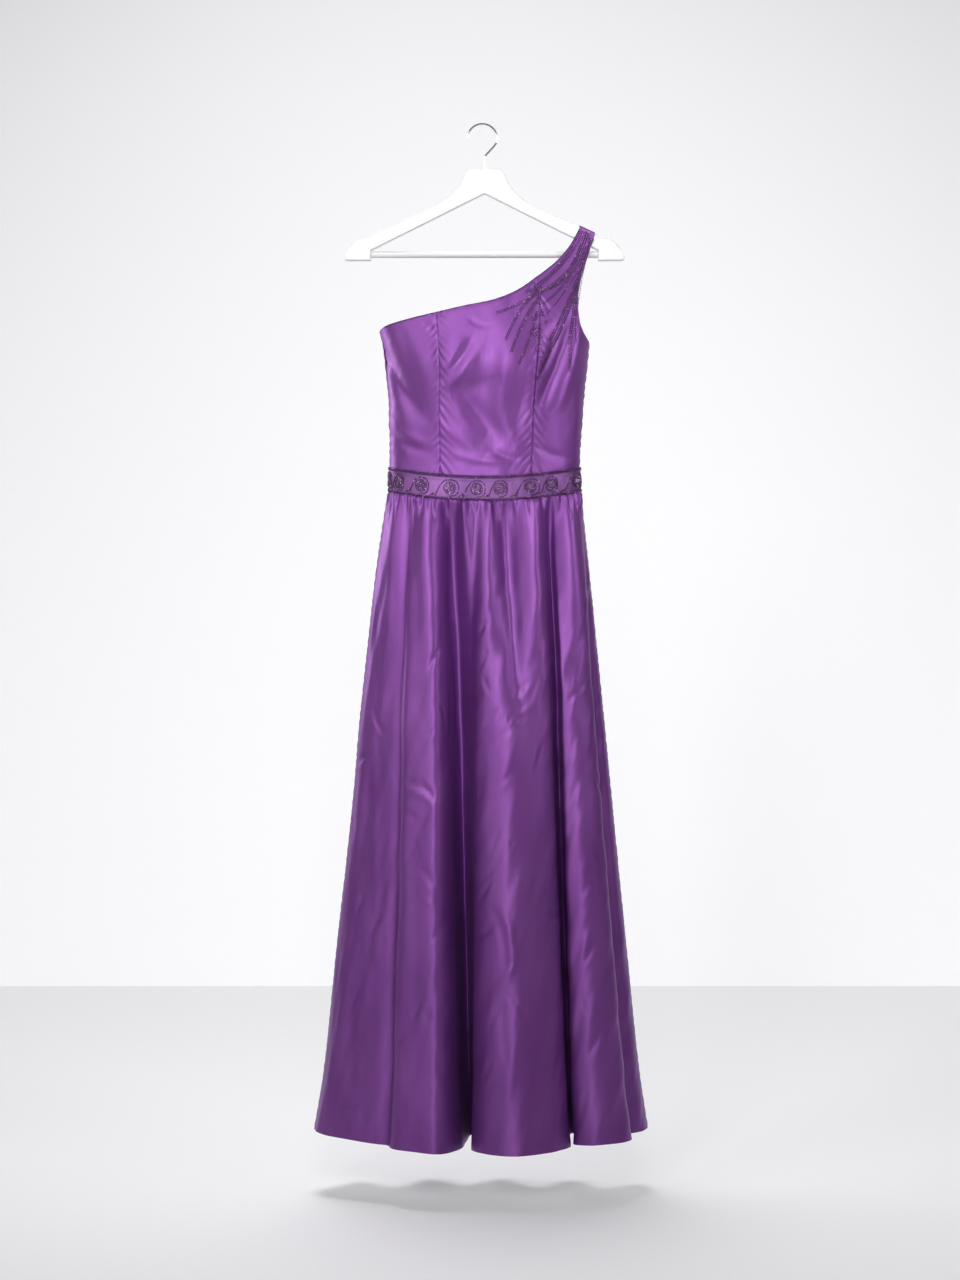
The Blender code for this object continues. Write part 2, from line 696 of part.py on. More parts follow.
def add_skirt_panel(collection, skirt, name, side):
    """Front or back of the skirt, with fine columns in the gathers and wide ones below."""
    start = 0.0 if side < 0 else skirt.right_seam
    end = skirt.right_seam if side < 0 else skirt.keys[-1]
    first_place = skirt.place(start)
    gather_columns = GATHERS // 2 * GATHER_COLUMNS
    knots = [key for key in skirt.keys if start <= key <= end]
    wide = []
    for low, high in zip(knots, knots[1:]):
        steps = max(1, round((high - low) / HEM_COLUMN))
        wide += [low + (high - low) * step / steps for step in range(steps)]
    fine = [skirt.key(first_place + step / gather_columns) for step in range(gather_columns)]
    drop_length = BAND_TOP - BAND_HEIGHT - HEM_HEIGHT
    points, normals = [], []
    for depth in GATHER_ROWS + SKIRT_ROWS + (drop_length,):
        drop = depth / drop_length
        columns = fine if depth in GATHER_ROWS else wide
        ends = stops(lambda share: skirt.point(start + (end - start) * share, drop), 1)
        keys = [start + (end - start) * ends[0], *columns[1:], start + (end - start) * ends[1]]
        points.append([skirt.point(key, drop) for key in keys])
        normals.append([skirt.normal(key, drop) for key in keys])
    return add_wall(collection, name, points, normals, CLOTH_WALL, "purple satin")


def smooth_path(points, steps):
    """Points on a smooth curve through the given ones."""
    path = []
    for row in range(len(points) - 1):
        before = points[max(row - 1, 0)]
        start, end = points[row], points[row + 1]
        after = points[min(row + 2, len(points) - 1)]
        for step in range(steps):
            f = step / steps
            path.append(0.5 * (
                2.0 * start + (end - before) * f
                + (2.0 * before - 5.0 * start + 4.0 * end - after) * f ** 2
                + (3.0 * start - before - 3.0 * end + after) * f ** 3
            ))
    path.append(points[-1])
    return path


def curve_mesh(curve_object):
    """Turn a curve object into a closed mesh object's data, and remove the curve."""
    bpy.context.view_layer.update()
    evaluated = curve_object.evaluated_get(bpy.context.evaluated_depsgraph_get())
    mesh = bpy.data.meshes.new_from_object(evaluated)
    mesh.transform(curve_object.matrix_world)
    form = bmesh.new()
    form.from_mesh(mesh)
    bmesh.ops.remove_doubles(form, verts=form.verts, dist=1e-6)
    form.to_mesh(mesh)
    form.free()
    bpy.data.objects.remove(curve_object, do_unlink=True)
    return mesh


def add_hanger_body(collection, cutters):
    """Both arms and the neck: a flat outline with rounded edges, bored for the stem."""
    right = [(offset, height) for _, offset, height in HANGER_OUTLINE]
    left = [(-offset, height) for offset, height in reversed(right)]
    outline = right + [(0.0, HANGER_APEX)] + left
    curve = bpy.data.curves.new("hanger_body", "CURVE")
    curve.dimensions = "2D"
    curve.fill_mode = "BOTH"
    curve.extrude = HANGER_THICKNESS / 2.0 - HANGER_EDGE
    curve.bevel_depth = HANGER_EDGE
    curve.bevel_resolution = 1
    curve.offset = -HANGER_EDGE
    spline = curve.splines.new("POLY")
    spline.points.add(len(outline) - 1)
    spline.use_cyclic_u = True
    for point, (offset, height) in zip(spline.points, outline):
        point.co = (HANGER_X + offset, height, 0.0, 1.0)
    blank = bpy.data.objects.new("hanger_blank", curve)
    blank.rotation_euler = (math.radians(90.0), 0.0, 0.0)
    collection.objects.link(blank)
    body = add_object(collection, "hanger_body", curve_mesh(blank), "white lacquer")
    body.data.set_sharp_from_angle(angle=math.radians(40.0))

    bpy.ops.mesh.primitive_cylinder_add(
        vertices=16, radius=STEM_HOLE_RADIUS, depth=STEM_HOLE_DEPTH * 2.0,
        location=(HANGER_X, 0.0, HANGER_OUTLINE[0][2]),
    )
    drill = bpy.context.object
    drill.name = "stem_hole"
    drill.hide_render = True
    drill.display_type = "WIRE"
    for owner in list(drill.users_collection):
        owner.objects.unlink(drill)
    cutters.objects.link(drill)
    hole = body.modifiers.new("stem hole", "BOOLEAN")
    hole.operation = "DIFFERENCE"
    hole.object = drill


def add_hanger_bar(collection):
    """The round bar between the feet of the arms."""
    inside = next(row[1] for row in HANGER_OUTLINE if row[0] == "foot inside")
    bpy.ops.mesh.primitive_cylinder_add(
        vertices=20, radius=BAR_RADIUS, depth=2.0 * (inside - SEAM_GAP),
        location=(HANGER_X, 0.0, BAR_HEIGHT), rotation=(0.0, math.radians(90.0), 0.0),
    )
    bar = bpy.context.object
    for owner in list(bar.users_collection):
        owner.objects.unlink(bar)
    collection.objects.link(bar)
    bar.name = "hanger_bar"
    bar.data.name = "hanger_bar"
    bar.data.materials.append(make_material("white lacquer"))
    bar.data.shade_smooth()
    bar.data.set_sharp_from_angle(angle=math.radians(40.0))


def add_hook(collection):
    """The steel wire: its inner top is at the origin, its stem stands in the neck's hole."""
    centre = Vector((0.0, 0.0, WIRE_RADIUS - HOOK_RADIUS))
    arc = []
    for step in range(HOOK_ARC_STEPS + 1):
        angle = HOOK_START + (HOOK_END - HOOK_START) * step / HOOK_ARC_STEPS
        arc.append(centre + Vector((math.cos(angle), 0.0, math.sin(angle))) * HOOK_RADIUS)
    neck = [Vector((x, 0.0, height)) for x, height in HOOK_NECK]
    neck.append(Vector((HANGER_X, 0.0, -0.0600)))
    swan_neck = smooth_path([arc[-1], *neck], 3)
    path = arc[:-1] + swan_neck + [Vector((HANGER_X, 0.0, STEM_END))]
    curve = bpy.data.curves.new("hanger_hook", "CURVE")
    curve.dimensions = "3D"
    curve.bevel_depth = WIRE_RADIUS
    curve.bevel_resolution = 2
    curve.use_fill_caps = True
    spline = curve.splines.new("POLY")
    spline.points.add(len(path) - 1)
    for point, place in zip(spline.points, path):
        point.co = (*place, 1.0)
    blank = bpy.data.objects.new("hook_blank", curve)
    collection.objects.link(blank)
    add_object(collection, "hanger_hook", curve_mesh(blank), "bright steel")


def build():
    """Make the whole dress and its hanger."""
    clear_scene()
    dress, cutters = make_collections()
    for panel in PANELS:
        add_bodice_panel(dress, panel)
    add_band(dress, "waistband_front", -1)
    add_band(dress, "waistband_back", 1)
    skirt = Skirt()
    add_skirt_panel(dress, skirt, "skirt_front", -1)
    add_skirt_panel(dress, skirt, "skirt_back", 1)
    add_hanger_body(dress, cutters)
    add_hanger_bar(dress)
    add_hook(dress)


build()
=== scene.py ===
"""Looks of the one-shoulder satin dress: draped cloth, bead embroidery, hanger and studio.

Metres, +Z up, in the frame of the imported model: the origin is the inner top of the hook and
the front of the dress faces -Y. Left and right are those of someone looking at the front.
"""

import math

import bpy
import numpy as np
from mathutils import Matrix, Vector


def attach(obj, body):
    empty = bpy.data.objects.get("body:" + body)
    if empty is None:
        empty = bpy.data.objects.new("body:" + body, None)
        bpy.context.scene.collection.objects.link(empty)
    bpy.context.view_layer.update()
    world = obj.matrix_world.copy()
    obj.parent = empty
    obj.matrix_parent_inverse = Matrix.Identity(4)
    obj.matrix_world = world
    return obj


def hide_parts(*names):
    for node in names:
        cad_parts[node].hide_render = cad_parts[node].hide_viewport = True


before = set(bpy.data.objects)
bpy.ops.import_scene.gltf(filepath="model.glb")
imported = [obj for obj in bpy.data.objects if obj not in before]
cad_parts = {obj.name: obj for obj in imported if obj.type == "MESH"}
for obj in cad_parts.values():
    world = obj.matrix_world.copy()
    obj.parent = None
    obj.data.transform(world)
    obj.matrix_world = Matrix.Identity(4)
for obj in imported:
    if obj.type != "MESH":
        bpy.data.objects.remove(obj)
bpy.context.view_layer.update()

SEED = 41
MM = 0.001
CLOTH_THICKNESS = 0.9 * MM
CROWDING = 0.55
SHARP_EDGE = math.radians(70.0)


def metres(rows, shares=()):
    """Rows of a table with their millimetres in metres: names and the columns of shares stay."""
    return tuple(
        tuple(
            value if isinstance(value, str) or index in shares else value * MM
            for index, value in enumerate(row)
        )
        for row in rows
    )


# The dress's surfaces, from the same sections, seams and folds as its solids. The lengths in
# every table are in millimetres.

# name, height, left side, right side, front depth, back depth
BODY_SECTIONS = metres((
    ("band foot", -600, -148, 156, 60, 60),
    ("waist", -541, -146, 153.5, 60, 58),
    ("under bust", -446, -147, 159, 69, 57),
    ("bust", -385, -153, 165, 73, 55),
    ("underarm", -335, -160, 171, 68, 50),
    ("upper chest", -290, -184, 196, 56, 40),
    ("collar bone", -240, -236, 244, 32, 24),
    ("below the arm", -200, -416, 424, 11.5, 10.5),
    ("on the arm", -190, -596, 604, 8.5, 8.5),
    ("strap top", -150, -596, 604, 8.5, 8.5),
))
BUST_RISE = 0.014
BUST_OFFSET = 0.062
BUST_HEIGHT = -0.385
BUST_HALF_WIDTH = 0.045
BUST_HALF_HEIGHT = 0.050

# height, x
PRINCESS_LEFT = metres(((-560, -65.5), (-455, -66.7), (-379, -67.7), (-300, -70.4)))
PRINCESS_RIGHT = metres((
    (-560, 76.5), (-472, 79.5), (-411, 83.5),
    (-331, 89.4), (-282, 90.5), (-248, 79.5),
))
ARMHOLE_FRONT = metres((
    (-345, 170), (-331, 159.8), (-314, 153.1), (-289, 150.3),
    (-267, 150.5), (-244, 154.3), (-226, 160), (-203, 167.4), (-170, 178.2),
))
ARMHOLE_BACK = metres((
    (-345, 170), (-331, 160), (-314, 154.5), (-289, 152),
    (-267, 152.2), (-244, 155.6), (-226, 160.5), (-203, 167.4), (-170, 178.2),
))
# x, height
NECKLINE_FRONT = metres((
    (-170, -330), (-154, -320.5), (-112, -309.8), (-70, -300.7),
    (-29, -291.3), (13, -282.6), (32, -276.3), (59, -262.6),
    (82, -245.3), (104, -227.9), (122, -210.7), (139, -188.3),
    (152, -165.3), (155, -159.3),
))
NECKLINE_BACK = metres((
    (-170, -330), (-154, -323.5), (-110, -334), (-60, -339),
    (4, -337), (50, -322), (90, -292), (120, -256),
    (141, -218), (151, -185), (155, -159.3),
))
CENTRE_BACK_X = 0.004
NECK_FRONT = -0.248
NECK_BACK = -0.337
UNDERARM_HEIGHT = -0.345
STRAP_INNER_X = 0.155
STRAP_TOP = -0.1593
STRAP_SLOPE = -0.457
STRAP_TURN = 0.0040
STRAP_HALF_DEPTH = 0.0085

# name, x and height of the upper end, x and height of the lower end, depth, half width
BODICE_FOLDS = metres((
    ("left diagonal", -150, -350, -85, -470, 3.5, 16),
    ("under left bust", -50, -425, 30, -405, 3, 16),
    ("right diagonal", 125, -310, 88, -455, 4, 14),
))

BAND_TOP = -0.5415
BAND_HEIGHT = 0.0355
BAND_FRONT_DIP = 0.0172
BAND_PROUD = 0.0006

# name, place, x, y
SKIRT_FOLDS = metres((
    ("left seam", 0.000, -266, 32),
    ("first fold, outer", 0.060, -256, -4),
    ("first fold, ridge", 0.130, -210, -36),
    ("first fold, inner", 0.190, -164, -60),
    ("tuck behind second", 0.214, -145.5, -66),
    ("second fold, edge", 0.230, -141.5, -83),
    ("second fold, shoulder", 0.270, -104, -106),
    ("second fold, ridge", 0.315, -70, -117),
    ("second fold, inner", 0.345, -34, -70),
    ("left valley, wall", 0.362, -27, -22),
    ("left valley, bottom", 0.400, -17, 48),
    ("left valley, far wall", 0.448, -9, -22),
    ("third fold, edge", 0.486, -15, -74),
    ("third fold, shoulder", 0.515, 8, -104),
    ("third fold, ridge", 0.555, 46, -121),
    ("third fold, flat", 0.620, 94, -104),
    ("third fold, inner", 0.690, 134, -64),
    ("right valley, wall", 0.712, 134, -5),
    ("right valley, bottom", 0.730, 143, 44),
    ("right valley, far wall", 0.748, 151, -5),
    ("fourth fold, edge", 0.764, 144, -54),
    ("fourth fold, ridge", 0.805, 168, -70),
    ("fourth fold, inner", 0.885, 233, -38),
    ("tuck behind fourth", 0.915, 225, -8),
    ("fifth fold", 0.955, 251, 6),
    ("right seam", 1.000, 263, 38),
    ("back fold one", 1.090, 236, 92),
    ("back valley one", 1.170, 186, 66),
    ("back fold two", 1.270, 132, 122),
    ("back valley two", 1.370, 82, 72),
    ("back fold three", 1.470, 22, 132),
    ("back valley three", 1.560, -30, 88),
    ("back fold four", 1.660, -92, 128),
    ("back valley four", 1.760, -142, 70),
    ("back fold five", 1.870, -202, 108),
    ("back valley five", 1.940, -238, 70),
), (1,))
HEM_HEIGHT = -1.5835
HEM_FRONT_DIP = 0.0165
# name, place at the top, place at the foot, rise, half width, share of the drop at the foot
SOFT_FOLDS = metres((
    ("left front ridge", 0.160, 0.150, 5, 16, 0.30),
    ("left soft valley", 0.232, 0.236, -5, 12, 0.34),
    ("left edge of the valley", 0.300, 0.300, 7, 14, 0.30),
    ("left valley's top", 0.362, 0.390, -13, 14, 0.30),
    ("short ridge", 0.436, 0.430, 9, 9, 0.22),
    ("narrow valley", 0.468, 0.466, -6, 7, 0.40),
    ("centre ridge", 0.512, 0.500, 8, 11, 0.36),
    ("middle valley", 0.572, 0.574, -14, 14, 0.36),
    ("middle ridge", 0.664, 0.668, 12, 15, 0.36),
    ("right valley's top", 0.742, 0.736, -13, 13, 0.28),
    ("fourth fold's top", 0.826, 0.820, 6, 12, 0.26),
    ("right side ridge", 0.900, 0.900, 4, 14, 0.28),
    ("back ridge one", 1.120, 1.110, 5, 14, 0.32),
    ("back valley one", 1.230, 1.235, -6, 13, 0.36),
    ("back ridge two", 1.420, 1.425, 5, 14, 0.28),
    ("back valley two", 1.520, 1.515, -6, 12, 0.38),
    ("back ridge three", 1.710, 1.715, 6, 13, 0.30),
    ("back valley three", 1.820, 1.825, -5, 14, 0.34),
), (1, 2, 5))
# A soft fold starts low at the band, is highest at about a third of its length and ends flat.
FOLD_START = 0.005
FOLD_POWER = 0.6
# How steeply the folds grow from nothing at the side seams
FOLDS_FROM_SEAMS = 6.0
# How far out the skirt has come, as a share of its flare, on each side.
# share of the drop, left, right
SKIRT_FLARE = (
    (0.00, 0.000, 0.000), (0.06, 0.095, 0.065), (0.14, 0.190, 0.145), (0.24, 0.285, 0.240),
    (0.36, 0.395, 0.355), (0.48, 0.480, 0.465), (0.71, 0.698, 0.680), (0.905, 0.870, 0.870),
    (1.00, 1.000, 1.000),
)
WAIST_ARC = 0.345

# The gathers under the band: even ridges, with narrow notches between them.
GATHERS = 48
GATHER_RISE = 2.2 * MM
GATHER_PEAK = 8.5 * MM
NOTCHES = 56
# Their least and greatest sizes; they widen down the skirt and are deepest a little below the band
NOTCH_LENGTHS = (10.0 * MM, 24.0 * MM)
NOTCH_DEPTHS = (2.2 * MM, 4.6 * MM)
NOTCH_HALF_WIDTHS = (1.6 * MM, 3.0 * MM)
NOTCH_LEANS = (-0.10, 0.10)
NOTCH_WIDENING = 14.0
NOTCH_START = 4.0 * MM

# Finer creases that only the looks need, each on a bent line of a few straight parts.
CREASE_PARTS = 8
# name, x and height of its start, middle and end, depth (negative is a ridge), half width
BODICE_CREASES = metres((
    ("deep fold by the armhole", 139, -318, 121, -376, 88, -456, 5.8, 9),
    ("its ridge", 150, -330, 139, -390, 112, -458, -3, 9.5),
    ("fold inside it", 116, -330, 104, -372, 90, -400, 2.6, 6.5),
    ("beside the right seam", 70, -362, 62, -430, 50, -492, 4.2, 12.5),
    ("ridge left of it", 36, -355, 30, -410, 22, -470, -2.6, 12),
    ("slant by the left seam", -68, -412, -40, -384, -14, -340, 3.4, 8),
    ("light under the slant", -58, -420, -34, -402, -6, -366, -2.4, 7.5),
    ("under the bust", -50, -412, -10, -458, 34, -508, 5.6, 16),
    ("hollow under the bust", -4, -405, 4, -460, 8, -535, 5.2, 30),
    ("light under it", -66, -478, -30, -500, 4, -528, -1.8, 10),
    ("left corner", -164, -338, -138, -398, -94, -468, 4.6, 10.5),
    ("left seam's hollow", -76, -325, -74, -370, -74, -420, 2.2, 15),
    ("left waist", -144, -486, -118, -506, -82, -520, 2.4, 7.5),
    ("left waist ridge", -142, -474, -118, -492, -86, -504, -1.6, 7),
    ("neck tick", -96, -313, -84, -322, -76, -334, 1.4, 4.5),
    ("neck tick, middle", -20, -312, -6, -322, 14, -324, 1.4, 5),
    ("waist middle", -46, -520, -10, -531, 36, -534, -2, 6),
    ("waist, right of the middle", 10, -512, 34, -526, 60, -530, 1.8, 5.5),
    ("right waist", 84, -508, 108, -522, 142, -526, 2.2, 6.5),
    ("right side", 150, -405, 148, -450, 150, -500, -1.6, 9),
))
BACK_CREASES = metres((
    ("left blade", -140, -372, -118, -420, -84, -470, 2.2, 12),
    ("left waist", -132, -470, -100, -505, -60, -520, -1.4, 9),
    ("centre left", -40, -380, -46, -440, -36, -510, 1.6, 12),
    ("centre right", 44, -380, 52, -440, 44, -515, -1.4, 11),
    ("right blade", 128, -318, 112, -380, 82, -452, 2.6, 11),
    ("right waist", 134, -470, 112, -500, 78, -520, 1.3, 9),
    ("strap", 146, -245, 138, -275, 134, -318, -1, 7),
))
# name, places that it lies between, x and height of its start, middle and end, depth, half width
SKIRT_CREASES = metres((
    ("left valley's floor", 0.33, 0.44, -41, -585, -46, -760, -26, -1040, 5.6, 8.5),
    ("beside the centre ridge", 0.50, 0.63, 32, -585, 44, -740, 60, -940, 5.2, 10),
    ("left high", 0.02, 0.36, -122, -1030, -92, -1040, -72, -1060, 2, 5),
    ("left high ridge", 0.02, 0.36, -116, -1042, -90, -1052, -74, -1072, -1.6, 5),
    ("left knee", 0.02, 0.36, -128, -1085, -112, -1083, -98, -1094, 1.4, 4),
    ("centre tick", 0.40, 0.70, 50, -938, 68, -930, 84, -916, 1.5, 4.5),
    ("centre long", 0.40, 0.70, 12, -975, 30, -960, 52, -936, 1.2, 5),
    ("left low", 0.20, 0.36, -98, -1165, -82, -1178, -66, -1210, 1.6, 5.5),
    ("left lower", 0.20, 0.36, -104, -1390, -90, -1385, -72, -1400, 1.4, 5),
    ("left hem spot", 0.02, 0.20, -214, -1540, -200, -1548, -184, -1572, -2, 9),
    ("centre low", 0.40, 0.70, 14, -1225, 30, -1262, 34, -1320, 1.8, 6),
    ("centre low ridge", 0.40, 0.70, 30, -1225, 44, -1270, 46, -1330, -1.6, 6.5),
    ("centre lower", 0.40, 0.70, 36, -1350, 30, -1400, 40, -1470, 1.6, 6.5),
    ("right high", 0.76, 0.96, 170, -1120, 184, -1150, 190, -1200, 1.4, 6),
    ("back left", 1.55, 1.90, -100, -1080, -80, -1092, -60, -1116, 2, 5.5),
    ("back middle", 1.30, 1.60, 6, -960, 28, -975, 50, -1000, 1.6, 5),
    ("back right", 1.10, 1.40, 110, -1260, 126, -1290, 130, -1340, 1.8, 6),
    ("back low", 1.40, 1.70, -40, -1380, -30, -1410, -34, -1460, 1.6, 6),
), (1, 2))

# The cloth's own low waves: height, what is added to the seed, wave across, wave along
BODICE_WAVES = metres(((0.30, 0, 50, 110), (0.10, 7, 18, 40)), (1,))
BAND_WAVES = metres(((0.22, 20, 22, 50),), (1,))
SKIRT_WAVES = metres(((0.55, 51, 60, 350), (0.25, 53, 26, 120)), (1,))

# Lines of small crumples, where the satin catches the light in short slanting ticks.
# name, places that they lie between, x and height of the line's ends, how many
CRUMPLES = metres((
    ("second fold's crest", 0.24, 0.34, -78, -830, -80, -1500, 12),
    ("third fold's crest", 0.46, 0.62, 4, -760, 28, -1480, 15),
    ("third fold's flank", 0.56, 0.70, 62, -820, 90, -1300, 6),
    ("first fold", 0.04, 0.20, -150, -860, -200, -1520, 7),
    ("fourth fold", 0.76, 0.92, 150, -880, 182, -1480, 8),
    ("back, left", 1.60, 1.90, -80, -820, -110, -1480, 12),
    ("back, middle", 1.30, 1.60, 20, -800, 26, -1460, 12),
    ("back, right", 1.06, 1.36, 120, -860, 150, -1480, 10),
), (1, 2, 7))
CRUMPLE_SPREAD = 21.0 * MM
# Their least and greatest slants in degrees and sizes
CRUMPLE_SLANTS = (38.0, 78.0)
CRUMPLE_REACHES = (10.0 * MM, 26.0 * MM)
CRUMPLE_DEPTHS = (1.2 * MM, 2.6 * MM)
CRUMPLE_HALF_WIDTHS = (2.8 * MM, 4.4 * MM)
CRUMPLE_BEND = 3.0 * MM
# The ridge under each crease: its depth as a share, and how many half widths it lies lower
CRUMPLE_RIDGE = -0.6
CRUMPLE_RIDGE_BELOW = 1.7


def blend(low, high, share):
    """Value between two others."""
    return low + (high - low) * share


def bell(away, half_width):
    """Share between 1 at a line and 0 well away from it."""
    return np.exp(-(away / half_width) ** 2)


def cubic(start, end, start_slope, end_slope, span, f):
    """Value on a smooth curve between two points, at a share of the way."""
    return (
        start * (1.0 + 2.0 * f) * (1.0 - f) ** 2 + span * start_slope * f * (1.0 - f) ** 2
        + end * f * f * (3.0 - 2.0 * f) + span * end_slope * f * f * (f - 1.0)
    )


def even_curve(keys, values, at):
    """Values on a curve through the rows that never overshoots them."""
    keys, values = np.asarray(keys, float), np.asarray(values, float)
    at = np.clip(at, keys[0], keys[-1])
    secants = np.diff(values) / np.diff(keys)
    before, after = secants[:-1], secants[1:]
    same = before * after > 0.0
    inner = np.where(same, 2.0 * before * after / np.where(same, before + after, 1.0), 0.0)
    slopes = np.concatenate((secants[:1], inner, secants[-1:]))
    row = np.clip(np.searchsorted(keys, at, side="right") - 1, 0, len(keys) - 2)
    span = keys[row + 1] - keys[row]
    f = (at - keys[row]) / span
    return cubic(values[row], values[row + 1], slopes[row], slopes[row + 1], span, f)


def column(rows, index):
    """One column of a table."""
    return [row[index] for row in rows]


def line_at(rows, at):
    """Second column of a two-column table at a value of the first."""
    return even_curve(column(rows, 0), column(rows, 1), at)


def neckline_x(rows, height):
    """x of a neckline at a height, on its rising part."""
    rising = rows[1:] if rows[1][1] < rows[2][1] else rows[3:]
    return even_curve(column(rising, 1), column(rising, 0), height)


def sections(height):
    """Middle, half width, front depth and back depth of the body at each height."""
    left, right, front, back = (
        even_curve(column(BODY_SECTIONS, 1), column(BODY_SECTIONS, index), height)
        for index in (2, 3, 4, 5)
    )
    return (left + right) / 2.0, (right - left) / 2.0, front, back


def from_line(x, height, start, end):
    """Share along a straight line that is nearest to each place, and how far away it is."""
    (x_start, z_start), (x_run, z_run) = start, np.subtract(end, start)
    share = (x - x_start) * x_run + (height - z_start) * z_run
    share = np.clip(share / (x_run ** 2 + z_run ** 2), 0.0, 1.0)
    return share, np.hypot(x - x_start - share * x_run, height - z_start - share * z_run)


def trough(x, height, fold):
    """Depth of one straight soft fold at each place."""
    _, x_top, z_top, x_low, z_low, depth, half_width = fold
    along, away = from_line(x, height, (x_top, z_top), (x_low, z_low))
    return depth * np.sin(math.pi * along) ** 0.5 * bell(away, half_width)


def body_points(side, angle, height):
    """Points of the bodice: side -1 front or 1 back, angle 0 left seam to pi right seam."""
    middle, half_width, front, back = sections(height)
    x = middle - half_width * np.cos(angle)
    across = np.sin(angle)
    if side > 0:
        return np.stack((x, back * across, height + 0.0 * x), -1)
    depth = front * across
    for bust in (-BUST_OFFSET, BUST_OFFSET):
        away = ((x - middle - bust) / BUST_HALF_WIDTH) ** 2
        away = away + ((height - BUST_HEIGHT) / BUST_HALF_HEIGHT) ** 2
        depth = depth + BUST_RISE * np.exp(-away) * across ** 2
    for fold in BODICE_FOLDS:
        depth = depth - trough(x, height, fold) * across
    return np.stack((x, -depth, height + 0.0 * x), -1)


def unit(vectors):
    """The same directions with length one."""
    return vectors / np.maximum(np.linalg.norm(vectors, axis=-1, keepdims=True), 1e-12)


def body_normals(side, angle, height):
    """Outward directions of the body's surface."""
    step = 1e-4
    round_it = body_points(side, angle + step, height) - body_points(side, angle - step, height)
    up_it = body_points(side, angle, height + step) - body_points(side, angle, height - step)
    return unit(np.cross(round_it, up_it)) * -side


def angle_at(x, height):
    """Angles round the body of places given by their x."""
    middle, half_width, _, _ = sections(height)
    return np.arccos(np.clip((middle - x) / half_width, -1.0, 1.0))


def band_top(side, angle):
    """Height of the band's top edge, which dips at the centre front."""
    dip = BAND_FRONT_DIP if side < 0 else 0.0
    return BAND_TOP - dip * np.maximum(np.sin(angle), 0.0) ** 1.8


def strap_top(x):
    """Height of the strap's top, which follows the slope of the hanger's arm."""
    return STRAP_TOP + STRAP_SLOPE * (x - STRAP_INNER_X)


def creases(x, height, rows):
    """Depth of the finer creases at each place."""
    depth = np.zeros(np.broadcast(x, height).shape)
    for row in rows:
        *ends, rise, half_width = row[-8:]
        line = bent_line(*ends, CREASE_PARTS + 1)
        nearest = np.full(depth.shape, 1e9)
        along = 0.0
        for part in range(CREASE_PARTS):
            share, away = from_line(x, height, line[part], line[part + 1])
            along = np.where(away < nearest, (part + share) / CREASE_PARTS, along)
            nearest = np.minimum(away, nearest)
        fade = np.sin(math.pi * (0.04 + 0.92 * along)) ** 0.7
        depth = depth + rise * fade * bell(nearest, half_width)
    return depth


def bent_line(x0, z0, x1, z1, x2, z2, count=60):
    """Smooth line through a start, a middle point and an end."""
    f = np.linspace(0.0, 1.0, count)[:, None]
    start, end = np.array((x0, z0)), np.array((x2, z2))
    pull = 2.0 * np.array((x1, z1)) - (start + end) / 2.0
    return start * (1.0 - f) ** 2 + pull * 2.0 * f * (1.0 - f) + end * f * f


def ripples(across, along, seed, wave_across, wave_along, count=9):
    """Smooth uneven waves of height about one, from a few sines with seeded phases."""
    draw = np.random.default_rng(seed)
    total = np.zeros(np.broadcast(across, along).shape)
    for _ in range(count):
        a = math.tau / (wave_across * draw.uniform(0.6, 1.7)) * draw.choice((-1.0, 1.0))
        b = math.tau / (wave_along * draw.uniform(0.6, 1.7))
        total = total + np.sin(a * across + b * along + draw.uniform(0.0, math.tau))
    return total / math.sqrt(count)


def low_waves(across, along, rows, seed):
    """The cloth's own unevenness, in waves of a few sizes."""
    return sum(
        height * ripples(across, along, seed + extra, wave_across, wave_along)
        for height, extra, wave_across, wave_along in rows
    )


# Meshes

def fast_mesh(name, points, faces, uvs=None):
    """Mesh from arrays of points and faces, of three or four corners, with a flat map."""
    mesh = bpy.data.meshes.new(name)
    mesh.vertices.add(len(points))
    mesh.vertices.foreach_set("co", np.ascontiguousarray(points, np.float32).ravel())
    corners = faces.shape[1]
    mesh.loops.add(faces.size)
    mesh.loops.foreach_set("vertex_index", np.ascontiguousarray(faces, np.int32).ravel())
    mesh.polygons.add(len(faces))
    mesh.polygons.foreach_set("loop_start", np.arange(0, faces.size, corners, dtype=np.int32))
    mesh.update(calc_edges=True)
    if uvs is not None:
        layer = mesh.uv_layers.new(name="cloth")
        layer.uv.foreach_set("vector", uvs[faces.ravel()].astype(np.float32).ravel())
    mesh.shade_smooth()
    return mesh


def grid_quads(rows, columns):
    """Faces of a grid of points, numbered row by row."""
    index = np.arange(rows * columns).reshape(rows, columns)
    corners = (index[:-1, :-1], index[:-1, 1:], index[1:, 1:], index[1:, :-1])
    return np.stack(corners, -1).reshape(-1, 4)


def grid_normals(points, outward):
    """Directions square to a grid of points, on the side that the outward ones face."""
    normals = unit(np.cross(np.gradient(points, axis=1), np.gradient(points, axis=0)))
    facing = np.sign(np.sum(normals * outward, axis=-1, keepdims=True))
    return normals * np.where(facing == 0.0, 1.0, facing)


def link(name, mesh, materials):
    """Make a piece of a mesh: it rides on the one body."""
    piece = bpy.data.objects.new(name, mesh)
    for material in materials:
        mesh.materials.append(material)
    bpy.context.scene.collection.objects.link(piece)
    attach(piece, "root")
    return piece


